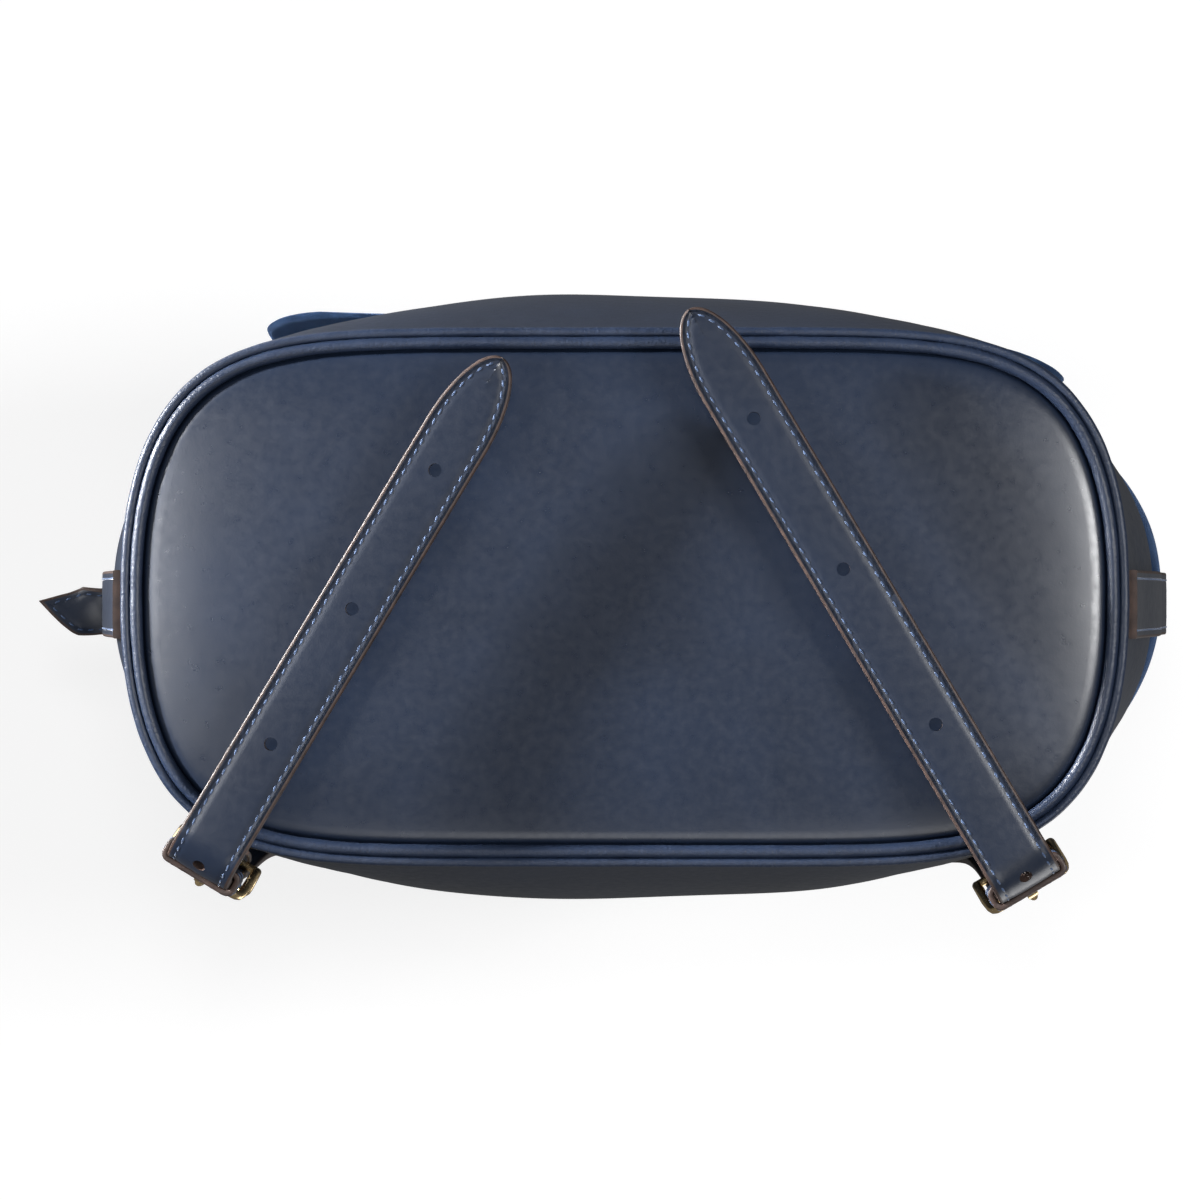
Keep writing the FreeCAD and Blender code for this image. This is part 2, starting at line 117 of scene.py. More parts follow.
# ------------------------------------------------------------------ mesh helpers
def new_object(name, verts, faces, mats, face_mat=None, smooth=True, angle=40):
    me = bpy.data.meshes.new(name)
    v = np.array(verts, float) + np.array([DX, DY, 0])
    me.from_pydata([tuple(p * MM) for p in v], [], faces)
    for m in mats:
        me.materials.append(m)
    if face_mat is not None:
        me.polygons.foreach_set("material_index", np.array(face_mat, dtype=np.int32))
    me.validate()
    me.update()
    ob = bpy.data.objects.new(name, me)
    bpy.context.scene.collection.objects.link(ob)
    bm = bmesh.new(); bm.from_mesh(me)
    bmesh.ops.remove_doubles(bm, verts=bm.verts, dist=1e-7)
    bmesh.ops.recalc_face_normals(bm, faces=bm.faces)
    bm.to_mesh(me); bm.free()
    shade(ob, angle if smooth else 0)
    return ob


def shade(ob, angle):
    me = ob.data
    me.polygons.foreach_set("use_smooth", [angle > 0] * len(me.polygons))
    if angle:
        me.set_sharp_from_angle(angle=math.radians(angle))
    me.update()


def grid_faces(nu, nv, cu, cv):
    f = []
    for i in range(nu if cu else nu - 1):
        for j in range(nv if cv else nv - 1):
            a, b = i * nv + j, ((i + 1) % nu) * nv + j
            c, d = ((i + 1) % nu) * nv + (j + 1) % nv, i * nv + (j + 1) % nv
            f.append((a, b, c, d))
    return f


def grid(name, P, mats, closed_u=False, closed_v=False, caps=True, col_mat=None, angle=40):
    nu, nv = P.shape[:2]
    f = grid_faces(nu, nv, closed_u, closed_v)
    m = []
    nj = nv if closed_v else nv - 1
    for i in range(len(f)):
        m.append(col_mat[i % nj] if col_mat else 0)
    if caps and not closed_u and closed_v:
        f.append(tuple(range(nv))); m.append(col_mat[0] if col_mat else 0)
        f.append(tuple((nu - 1) * nv + j for j in range(nv))); m.append(col_mat[0] if col_mat else 0)
    return new_object(name, P.reshape(-1, 3), f, mats, m, angle=angle)


def join(name, *obs):
    """One object of several, materials kept."""
    mats, verts, faces, fm, sm = [], [], [], [], []
    for o in obs:
        idx = []
        for m in o.data.materials:
            if m not in mats:
                mats.append(m)
            idx.append(mats.index(m))
        base = len(verts)
        verts += [tuple(v.co) for v in o.data.vertices]
        for p in o.data.polygons:
            faces.append(tuple(base + i for i in p.vertices)); fm.append(idx[p.material_index] if idx else 0)
        bpy.data.objects.remove(o)
    me = bpy.data.meshes.new(name)
    me.from_pydata(verts, [], faces)
    for m in mats:
        me.materials.append(m)
    me.polygons.foreach_set("material_index", np.array(fm, dtype=np.int32))
    me.update()
    ob = bpy.data.objects.new(name, me)
    bpy.context.scene.collection.objects.link(ob)
    shade(ob, 40)
    return ob


def sweep(name, path, radius, mat, closed=False, sides=14, squash=None):
    """Round bar along a path (mm)."""
    P = np.array(path, float)
    n = len(P)
    r = np.full(n, radius) if np.isscalar(radius) else np.array(radius, float)
    if closed:
        tan = np.roll(P, -1, 0) - np.roll(P, 1, 0)
    else:
        tan = np.gradient(P, axis=0)
    tan /= np.linalg.norm(tan, axis=1)[:, None]
    ref = np.array([0.0, 0.0, 1.0]) if abs(tan[0][2]) < 0.9 else np.array([0.0, 1.0, 0.0])
    a = np.cross(tan[0], ref); a /= np.linalg.norm(a)
    rings = []
    frames = []
    for i in range(n):
        a = a - tan[i] * a.dot(tan[i]); a /= np.linalg.norm(a)
        frames.append(a.copy())
    twist = 0.0
    if closed:
        e = frames[-1] - tan[0] * frames[-1].dot(tan[0]); e /= np.linalg.norm(e)
        twist = math.atan2(np.cross(e, frames[0]).dot(tan[0]), e.dot(frames[0]))
    for i in range(n):
        a = frames[i]; b = np.cross(tan[i], a)
        t0 = twist * i / n
        ang = np.arange(sides) / sides * 2 * math.pi + t0
        rings.append(P[i] + r[i] * (np.cos(ang)[:, None] * a + np.sin(ang)[:, None] * b))
    return grid(name, np.array(rings), [mat], closed_u=closed, closed_v=True, angle=60)


def lathe(name, centre, axis, prof, mat, sides=40):
    """prof: (radius, height) pairs."""
    ax = np.array(axis, float); ax /= np.linalg.norm(ax)
    a = np.cross(ax, [0, 0, 1.0] if abs(ax[2]) < 0.9 else [1.0, 0, 0]); a /= np.linalg.norm(a)
    b = np.cross(ax, a)
    ang = np.arange(sides) / sides * 2 * math.pi
    P = np.array([[np.array(centre) + ax * h + max(r, 0.001) * (math.cos(t) * a + math.sin(t) * b) for r, h in prof] for t in ang])
    return grid(name, P, [mat], closed_u=True, closed_v=True, angle=35)


# ------------------------------------------------------------------ materials
def lin(c):
    return tuple((v / 12.92 if v <= 0.04045 else ((v + 0.055) / 1.055) ** 2.4) for v in [x / 255 for x in c]) + (1.0,)


class Nodes:
    def __init__(self, name):
        self.mat = bpy.data.materials.new(name)
        self.mat.use_nodes = True
        self.t = self.mat.node_tree
        self.p = self.t.nodes["Principled BSDF"]
        self.coord = self.t.nodes.new("ShaderNodeTexCoord")

    def set(self, **k):
        for n, v in k.items():
            self.p.inputs[n.replace("_", " ")].default_value = v
        return self

    def noise(self, scale, detail=3.0, rough=0.55, src=None):
        n = self.t.nodes.new("ShaderNodeTexNoise")
        n.inputs["Scale"].default_value = scale
        n.inputs["Detail"].default_value = detail
        n.inputs["Roughness"].default_value = rough
        self.t.links.new(src or self.coord.outputs["Object"], n.inputs["Vector"])
        return n.outputs["Fac"]

    def stretch(self, sx, sy, sz):
        m = self.t.nodes.new("ShaderNodeMapping")
        m.inputs["Scale"].default_value = (sx, sy, sz)
        self.t.links.new(self.coord.outputs["Object"], m.inputs["Vector"])
        return m.outputs["Vector"]

    def voronoi(self, scale, feature="F1", out="Distance", src=None):
        n = self.t.nodes.new("ShaderNodeTexVoronoi")
        n.feature = feature
        n.inputs["Scale"].default_value = scale
        self.t.links.new(src or self.coord.outputs["Object"], n.inputs["Vector"])
        return n.outputs[out]

    def ramp(self, fac, stops):
        n = self.t.nodes.new("ShaderNodeValToRGB")
        e = n.color_ramp.elements
        e[0].position, e[0].color = stops[0]
        e[1].position, e[1].color = stops[-1]
        for pos, col in stops[1:-1]:
            x = e.new(pos); x.color = col
        self.t.links.new(fac, n.inputs["Fac"])
        return n.outputs["Color"]

    def math(self, op, a, b):
        n = self.t.nodes.new("ShaderNodeMath"); n.operation = op
        for i, v in enumerate((a, b)):
            if isinstance(v, (int, float)):
                n.inputs[i].default_value = v
            else:
                self.t.links.new(v, n.inputs[i])
        return n.outputs[0]

    def mapr(self, fac, lo, hi):
        n = self.t.nodes.new("ShaderNodeMapRange")
        n.inputs["From Min"].default_value, n.inputs["From Max"].default_value = 0.25, 0.75
        n.inputs["To Min"].default_value, n.inputs["To Max"].default_value = lo, hi
        self.t.links.new(fac, n.inputs["Value"])
        return n.outputs["Result"]

    def bump(self, height, strength, distance):
        prev = self.p.inputs["Normal"].links[0].from_socket if self.p.inputs["Normal"].links else None
        n = self.t.nodes.new("ShaderNodeBump")
        n.inputs["Strength"].default_value = strength
        n.inputs["Distance"].default_value = distance
        self.t.links.new(height, n.inputs["Height"])
        if prev:
            self.t.links.new(prev, n.inputs["Normal"])
        self.t.links.new(n.outputs["Normal"], self.p.inputs["Normal"])
        return self

    def color(self, sock):
        self.t.links.new(sock, self.p.inputs["Base Color"])
        return self

    def rough(self, sock):
        self.t.links.new(sock, self.p.inputs["Roughness"])
        return self


def leather(name, rgb, grain=950.0, depth=0.00011, strength=0.5, rough=(0.38, 0.52), spec=0.5, vary=0.16, coat=0.0):
    m = Nodes(name)
    lo = tuple(v * (1 - vary) for v in lin(rgb)[:3]) + (1.0,)
    hi = tuple(v * (1 + vary) for v in lin(rgb)[:3]) + (1.0,)
    m.color(m.ramp(m.noise(26.0, 4.0), [(0.3, lo), (0.7, hi)]))
    m.rough(m.mapr(m.noise(380.0, 4.0), rough[0], rough[1]))
    g = m.math("ADD", m.math("MULTIPLY", m.noise(grain * 0.95, 2.0, 0.6), 1.0), m.math("MULTIPLY", m.noise(grain * 2.3, 2.0), 0.45))
    m.bump(m.noise(34.0, 2.0), 0.12, 0.0012)
    m.bump(g, strength, depth)
    m.set(Specular_IOR_Level=spec, Coat_Weight=coat, Coat_Roughness=0.3)
    return m.mat


BASE_RGB = (21, 30, 46)
M_BASE = leather("mat_base_leather", BASE_RGB, grain=1250, depth=0.00005, strength=0.26, rough=(0.26, 0.36), spec=0.75)
M_WALL = leather("mat_wall_leather", BASE_RGB, grain=1150, depth=0.0001, strength=0.4, rough=(0.36, 0.48))
M_PIPE = leather("mat_piping_leather", (27, 38, 58), grain=820, depth=0.00026, strength=0.8, rough=(0.36, 0.5))
M_STRAP = leather("mat_strap_leather", (20, 29, 45), grain=1300, depth=0.00006, strength=0.3, rough=(0.28, 0.38), spec=0.7, vary=0.1)

m = Nodes("mat_edge_paint")
m.color(m.ramp(m.noise(300.0, 4.0), [(0.3, lin((38, 28, 26))), (0.7, lin((66, 50, 44)))]))
m.rough(m.mapr(m.noise(700.0), 0.42, 0.62)).bump(m.noise(1400.0, 4.0), 0.35, 0.0001)
M_EDGE = m.mat

m = Nodes("mat_thread")
m.color(m.ramp(m.noise(2600.0, 2.0), [(0.3, lin((26, 42, 70))), (0.72, lin((62, 86, 122)))]))
m.rough(m.mapr(m.noise(900.0), 0.55, 0.75)).bump(m.noise(3600.0, 2.0), 0.5, 0.0001)
m.set(Sheen_Weight=0.3)
M_THREAD = m.mat

m = Nodes("mat_suede")
a = m.noise(120.0, 5.0, 0.65)
b = m.noise(3200.0, 3.0, 0.7)
m.color(m.ramp(m.math("ADD", m.math("MULTIPLY", a, 0.55), m.math("MULTIPLY", b, 0.45)), [(0.34, lin((20, 33, 54))), (0.5, lin((33, 52, 80))), (0.66, lin((54, 78, 111)))]))
m.rough(m.mapr(b, 0.86, 1.0)).bump(m.noise(2600.0, 4.0, 0.7), 0.55, 0.00035).bump(a, 0.25, 0.0008)
m.set(Sheen_Weight=0.55, Sheen_Roughness=0.45, Specular_IOR_Level=0.15)
m.p.inputs["Sheen Tint"].default_value = lin((120, 150, 200))
M_SUEDE = m.mat

m = Nodes("mat_gold")
m.color(m.ramp(m.noise(90.0, 4.0), [(0.3, (0.78, 0.58, 0.31, 1)), (0.7, (0.88, 0.68, 0.39, 1))]))
m.rough(m.mapr(m.noise(1500.0, 4.0), 0.16, 0.3)).bump(m.noise(2400.0, 3.0), 0.08, 0.00005)
m.set(Metallic=1.0)
M_GOLD = m.mat

m = Nodes("mat_lining")
w1 = m.t.nodes.new("ShaderNodeTexWave"); w1.inputs["Scale"].default_value = 260.0; w1.bands_direction = "X"
w2 = m.t.nodes.new("ShaderNodeTexWave"); w2.inputs["Scale"].default_value = 260.0; w2.bands_direction = "Z"
for w in (w1, w2):
    w.inputs["Distortion"].default_value = 0.6
    m.t.links.new(m.coord.outputs["Object"], w.inputs["Vector"])
wv = m.math("MULTIPLY", w1.outputs["Fac"], w2.outputs["Fac"])
m.color(m.ramp(m.math("ADD", m.math("MULTIPLY", wv, 0.5), m.math("MULTIPLY", m.noise(60.0), 0.5)), [(0.2, lin((120, 104, 84))), (0.8, lin((168, 150, 124)))]))
m.rough(m.mapr(m.noise(400.0), 0.75, 0.95)).bump(wv, 0.5, 0.0003)
m.set(Sheen_Weight=0.2)
M_LINING = m.mat

m = Nodes("mat_board")
m.color(m.ramp(m.noise(400.0, 5.0), [(0.3, lin((120, 100, 78))), (0.7, lin((160, 138, 110)))]))
m.rough(m.mapr(m.noise(500.0), 0.8, 0.98)).bump(m.noise(900.0, 4.0), 0.4, 0.0003)
M_BOARD = m.mat

m = Nodes("mat_nickel")
m.color(m.ramp(m.noise(300.0), [(0.3, (0.5, 0.5, 0.5, 1)), (0.7, (0.62, 0.61, 0.6, 1))]))
m.rough(m.mapr(m.noise(1500.0), 0.22, 0.36)).bump(m.noise(1800.0), 0.1, 0.00005)
m.set(Metallic=1.0)
M_NICKEL = m.mat


def dress(node, mat):
    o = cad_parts[node]
    o.data.materials.clear()
    o.data.materials.append(mat)
    for s in o.material_slots:
        s.material = mat


def place(ob, body, slot, *nodes):
    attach(ob, body)
    if nodes:
        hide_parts(*nodes)
    return ob


# ------------------------------------------------------------------ stitches
def stitches(name, runs, pitch=3.15, length=2.15, r=0.29, slant=0.12):
    """runs: list of polylines, each a list of (point, surface normal). Returns one thread object."""
    V, F = [], []
    prof = [(-0.5, 0.25), (-0.42, 0.75), (-0.2, 1.0), (0.2, 1.0), (0.42, 0.75), (0.5, 0.25)]
    sides = 6
    for run in runs:
        pts = np.array([p for p, _ in run], float)
        nrm = np.array([n for _, n in run], float)
        seg = np.linalg.norm(np.diff(pts, axis=0), axis=1)
        cum = np.concatenate([[0], np.cumsum(seg)])
        k = int(cum[-1] / pitch)
        if k < 1:
            continue
        step = cum[-1] / k
        for i in range(k):
            s = (i + 0.5) * step
            c = np.array([np.interp(s, cum, pts[:, j]) for j in range(3)])
            c0 = np.array([np.interp(s - 0.8, cum, pts[:, j]) for j in range(3)])
            c1 = np.array([np.interp(s + 0.8, cum, pts[:, j]) for j in range(3)])
            n = np.array([np.interp(s, cum, nrm[:, j]) for j in range(3)]); n /= np.linalg.norm(n)
            t = c1 - c0; t /= np.linalg.norm(t)
            b = np.cross(n, t)
            if slant:
                t = t + b * slant; t /= np.linalg.norm(t); b = np.cross(n, t)
            base = len(V)
            for x, q in prof:
                sink = -0.30 * (abs(x) * 2) ** 3
                for a in range(sides):
                    ang = 2 * math.pi * a / sides
                    V.append(c + t * (x * length) + b * (math.cos(ang) * r * q) + n * (math.sin(ang) * r * q * 0.8 + sink))
            for u in range(len(prof) - 1):
                for a in range(sides):
                    F.append((base + u * sides + a, base + u * sides + (a + 1) % sides, base + (u + 1) * sides + (a + 1) % sides, base + (u + 1) * sides + a))
            F.append(tuple(base + a for a in range(sides)))
            F.append(tuple(base + (len(prof) - 1) * sides + a for a in range(sides)))
    return new_object(name, V, F, [M_THREAD], angle=50)


# ------------------------------------------------------------------ straps
TOP = [(0.0, 0.55), (0.12, 0.8), (0.38, 0.95), (0.8, 1.0), (1.7, 1.0), (2.2, 0.93), (2.6, 0.93), (3.2, 1.03), (4.4, 1.07), (6.5, 1.1)]


def strap(name, st, width, thick, leather_mat=None, s_list=None, inset=2.4, stitch=True, holes=(), pitch=3.15, faces=(1,), ends=(), crown=1.0, r=0.29):
    """st: stations of (centre, width direction, face normal). width: half width per station."""
    leather_mat = leather_mat or M_STRAP
    n = len(st)
    C = np.array([s[0] for s in st], float)
    W = np.array([s[1] for s in st], float)
    N = np.array([s[2] for s in st], float)
    seg = np.linalg.norm(np.diff(C, axis=0), axis=1)
    S = np.concatenate([[0], np.cumsum(seg)])
    hw = np.array(width, float)
    slope = np.gradient(hw, S)
    k = np.sqrt(1 + slope ** 2)
    rows = []
    cols = []
    for i in range(n):
        row = []
        def at(ins, h):
            x = max(hw[i] - ins * min(k[i], 9.0), 0.0) if hw[i] > 0 else 0.0
            return x, h * thick / 2
        half = []
        for ins, h in TOP:
            hh = h if h <= 1 else 1 + (h - 1) * crown
            half.append(at(ins, hh))
        tmax = 1 + 0.12 * crown
        prof = [(-x, y) for x, y in half] + [(0.0, tmax * thick / 2)] + [(x, y) for x, y in reversed(half)]
        bot = [(x, -y) for x, y in prof]
        loop = prof + list(reversed(bot))
        rows.append([C[i] + W[i] * x + N[i] * y for x, y in loop])
    m = len(TOP)
    nloop = len(rows[0])
    cm = []
    for j in range(nloop):
        # faces between loop points j and j+1
        jj = j if j < nloop // 2 else j - nloop // 2
        edge = jj < 3 or jj >= (2 * m + 1) - 4
        cm.append(1 if edge else 0)
    P = np.array(rows)
    ob = grid(name, P, [leather_mat, M_EDGE], closed_v=True, col_mat=cm, angle=38)
    if holes:
        cut_holes(ob, holes)
    th = None
    if stitch:
        runs = []
        for f in faces:
            for sgn in (-1, 1):
                run = []
                for i in range(n):
                    x = hw[i] - inset * min(k[i], 9.0)
                    if x <= 0.25:
                        continue
                    run.append((C[i] + W[i] * sgn * x + N[i] * f * (0.97 * thick / 2), N[i] * f))
                if len(run) > 2:
                    runs.append(run)
            for e in ends:
                i = e
                x = hw[i] - inset
                off = inset if i == 0 else -inset
                tdir = (C[min(i + 1, n - 1)] - C[max(i - 1, 0)]); tdir /= np.linalg.norm(tdir)
                c = C[i] + tdir * off
                runs.append([(c + W[i] * xx + N[i] * f * (thick / 2 * 1.02), N[i] * f) for xx in np.linspace(-x, x, 9)])
        th = stitches("thread_" + name, runs, pitch=pitch, r=r)
    return ob, th


def cut_holes(ob, holes):
    """holes: (centre, axis, radius) in mm. Punched through with a real boolean."""
    V, F = [], []
    for c, ax, r in holes:
        ax = np.array(ax, float); ax /= np.linalg.norm(ax)
        a = np.cross(ax, [0, 0, 1.0] if abs(ax[2]) < 0.9 else [1.0, 0, 0]); a /= np.linalg.norm(a)
        b = np.cross(ax, a)
        base = len(V)
        k = 20
        for h in (-4.0, 4.0):
            for i in range(k):
                t = 2 * math.pi * (i + 0.37) / k
                V.append(np.array(c) + ax * h + r * (math.cos(t) * a + math.sin(t) * b))
        for i in range(k):
            F.append((base + i, base + (i + 1) % k, base + k + (i + 1) % k, base + k + i))
        F.append(tuple(base + i for i in range(k)))
        F.append(tuple(base + k + i for i in range(k)))
    cut = new_object("cutter", V, F, [M_EDGE], smooth=False)
    mod = ob.modifiers.new("punch", "BOOLEAN")
    mod.operation = "DIFFERENCE"; mod.object = cut; mod.solver = "EXACT"; mod.material_mode = "TRANSFER"
    dg = bpy.context.evaluated_depsgraph_get()
    me = bpy.data.meshes.new_from_object(ob.evaluated_get(dg))
    ob.modifiers.clear()
    ob.data = me
    bpy.data.objects.remove(cut)
    shade(ob, 30)


def local(side):
    d = SIDES[side]
    sp, cp = math.sin(math.radians(d["phi"])), math.cos(math.radians(d["phi"]))
    nb, wb = np.array([d["s"] * sp, cp, 0.0]), np.array([cp, -d["s"] * sp, 0.0])
    wc = d["s"] * d["w"]
    return nb, wb, wc, (lambda w, n, z: wb * (wc + w) + nb * n + np.array([0, 0, z]))


def build_strap_end(side):
    d = SIDES[side]
    nb, wb, wc, at = local(side)
    L = d["length"]
    R = 9.0
    up = np.array([0, 0, 1.0])
    st, hw = [], []
    for z in np.linspace(19.0, T / 2 + R, 6)[:-1]:
        st.append((at(0, N_STRAP, z), wb, nb)); hw.append(HW)
    for k in range(11):
        a = math.pi / 2 * k / 10
        c = at(0, N_STRAP - R + R * math.cos(a), T / 2 + R - R * math.sin(a))
        st.append((c, wb, nb * math.cos(a) - up * math.sin(a))); hw.append(HW)
    n_end = N_STRAP - R
    n_tip = N_STRAP - L
    flat = n_end - n_tip
    tip_len = 25.0
    s_vals = list(np.linspace(3, flat - tip_len, 34)) + [flat - tip_len + tip_len * (1 - (1 - q) ** 1.7) for q in np.linspace(0, 1, 26)[1:]]
    for s in s_vals:
        st.append((at(0, n_end - s, T / 2), wb, -up))
        rem = flat - s
        if rem >= tip_len:
            hw.append(HW)
        else:
            q = rem / tip_len
            h = HW * math.sqrt(max(0.0, 1 - (1 - q) ** 2.05)) ** 0.98
            hw.append(max(h, 0.02))
    holes = []
    for h in d["holes"][:3]:
        holes.append((at(0, n_tip + h, T / 2), up, 1.85))
    # the last hole lies on the fold
    a = math.radians(50 if side == "right" else 42)
    holes.append((at(0, N_STRAP - R + R * math.cos(a), T / 2 + R - R * math.sin(a)), nb * math.cos(a) - up * math.sin(a), 1.85))
    ob, th = strap("strap_end_%s_leather" % side, st, hw, T, holes=holes, inset=2.35)
    start, end = at(0, N_STRAP, 12.5), at(0, N_STRAP - 13.5, 1.6)
    for o in (ob, th):
        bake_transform(o)
    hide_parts("strap_end_" + side)


def build_shoulder_strap(side):
    d = SIDES[side]
    s = d["s"]
    nb, wb, wc, at = local(side)
    foot = at(0, N_STRAP, 0)
    raw = []
    for z in (18.2, 30, 45, 60, 78):
        raw.append((np.array([foot[0], foot[1], z]), nb))
    x_top, z_top = s * 58.0, 284.0
    x_lo = foot[0] - s * 2.0
    for z in (110, 135, 160, 185, 210, 235, 260, z_top):
        u = (z - 90.0) / (z_top - 90.0)
        x = x_lo + (x_top - x_lo) * (u ** 1.35)
        off = 4.2 + 2.2 * min(1.0, max(0.0, (z - 120.0) / 40.0))
        y = wall_y(x, z)
        dy = (wall_y(abs(x) + 1, z) - wall_y(abs(x) - 1, z)) / 2.0
        n = np.array([-dy * s, 1, 0]); n /= np.linalg.norm(n)
        raw.append((np.array([x + n[0] * off, y + n[1] * off, z]), n))
    # smooth curve through the stations
    pts = np.array([p for p, _ in raw]); nrm = np.array([q for _, q in raw])
    cum = np.concatenate([[0], np.cumsum(np.linalg.norm(np.diff(pts, axis=0), axis=1))])
    S = np.linspace(0, cum[-1], 120)

    def smooth(vals):
        v = np.stack([np.interp(S, cum, vals[:, j]) for j in range(3)], 1)
        for _ in range(60):
            v[1:-1] = v[1:-1] * 0.5 + (v[:-2] + v[2:]) * 0.25
        return v
    P, Q = smooth(pts), smooth(nrm)
    straight = int(np.searchsorted(S, 52))
    P[:straight, 0], P[:straight, 1] = foot[0], foot[1]
    for _ in range(8):
        P[straight:-1] = P[straight:-1] * 0.5 + (P[straight - 1:-2] + P[straight + 1:]) * 0.25
    tan = np.gradient(P, axis=0); tan /= np.linalg.norm(tan, axis=1)[:, None]
    st = []
    for i in range(len(P)):
        n = Q[i] - tan[i] * Q[i].dot(tan[i]); n /= np.linalg.norm(n)
        st.append((P[i], np.cross(n, tan[i]), n))
    zh = Z_BUCKLE + 1.5
    holes = [(at(0, N_STRAP, zh), nb, 1.85)]
    ob, th = strap("shoulder_strap_%s_leather" % side, st, [HW] * len(st), T, holes=holes, inset=2.35, ends=(len(st) - 1,))
    place(ob, "bag", "strap_leather", "shoulder_strap_" + side)
    place(th, "bag", "strap_leather")
    c, n = P[-1], st[-1][2]
    rv = lathe("rivet_" + side, c - tan[-1] * 9.0 + n * (T / 2 + 0.1), n,
               [(0, -0.4), (4.0, -0.4), (4.1, 0.2), (3.8, 0.7), (3.0, 1.15), (1.6, 1.45), (0, 1.55)], M_GOLD)
    return rv


def closed_band(name, at, pts2d, z0, z1, thick, mat=None, stitch=True, body="bag"):
    """Leather loop: pts2d is a closed outline in (w, n) of its middle, standing from z0 to z1."""
    mat = mat or M_STRAP
    P2 = np.array(pts2d, float)
    m = len(P2)
    tan = np.roll(P2, -1, 0) - np.roll(P2, 1, 0)
    tan /= np.linalg.norm(tan, axis=1)[:, None]
    nor = np.stack([tan[:, 1], -tan[:, 0]], 1)
    if (nor * (P2 - P2.mean(0))).sum() < 0:
        nor = -nor
    prof = []
    zz = [(z0, 0.55), (z0 + 0.12, 0.82), (z0 + 0.45, 1.0), (z0 + 1.4, 1.0), ((z0 + z1) / 2, 1.06), (z1 - 1.4, 1.0), (z1 - 0.45, 1.0), (z1 - 0.12, 0.82), (z1, 0.55)]
    loop = [(h * thick / 2, z) for z, h in zz] + [(-h * thick / 2, z) for z, h in reversed(zz)]
    G = np.array([[at(P2[i][0] + nor[i][0] * o, P2[i][1] + nor[i][1] * o, z) for o, z in loop] for i in range(m)])
    k = len(zz)
    cm = [1 if (j % k) in (0, 1, k - 3, k - 2) or (j % k) == k - 1 else 0 for j in range(2 * k)]
    ob = grid(name, G, [mat, M_EDGE], closed_u=True, closed_v=True, col_mat=cm, angle=38)
    th = None
    if stitch:
        runs = []
        for z in (z0 + 1.7, z1 - 1.7):
            run = [(at(P2[i % m][0] + nor[i % m][0] * thick / 2, P2[i % m][1] + nor[i % m][1] * thick / 2, z),
                    np.array(at(nor[i % m][0], nor[i % m][1], 0)) - np.array(at(0, 0, 0))) for i in range(m + 1)]
            runs.append(run)
        th = stitches("thread_" + name, runs, pitch=3.0, length=2.0, r=0.27)
    return ob, th


def rounded_rect(hw, hn, r, cn=0.0, k=6):
    out = []
    for sx, sy, a0 in ((1, 1, 0), (-1, 1, 90), (-1, -1, 180), (1, -1, 270)):
        for i in range(k + 1):
            a = math.radians(a0 + 90 * i / k)
            out.append((sx * (hw - r) + r * math.cos(a), cn + sy * (hn - r) + r * math.sin(a)))
    # evenly filled straight runs
    res = []
    for i in range(len(out)):
        p, q = np.array(out[i]), np.array(out[(i + 1) % len(out)])
        n = max(1, int(np.linalg.norm(q - p) / 1.5))
        for j in range(n):
            res.append(tuple(p + (q - p) * j / n))
    return res


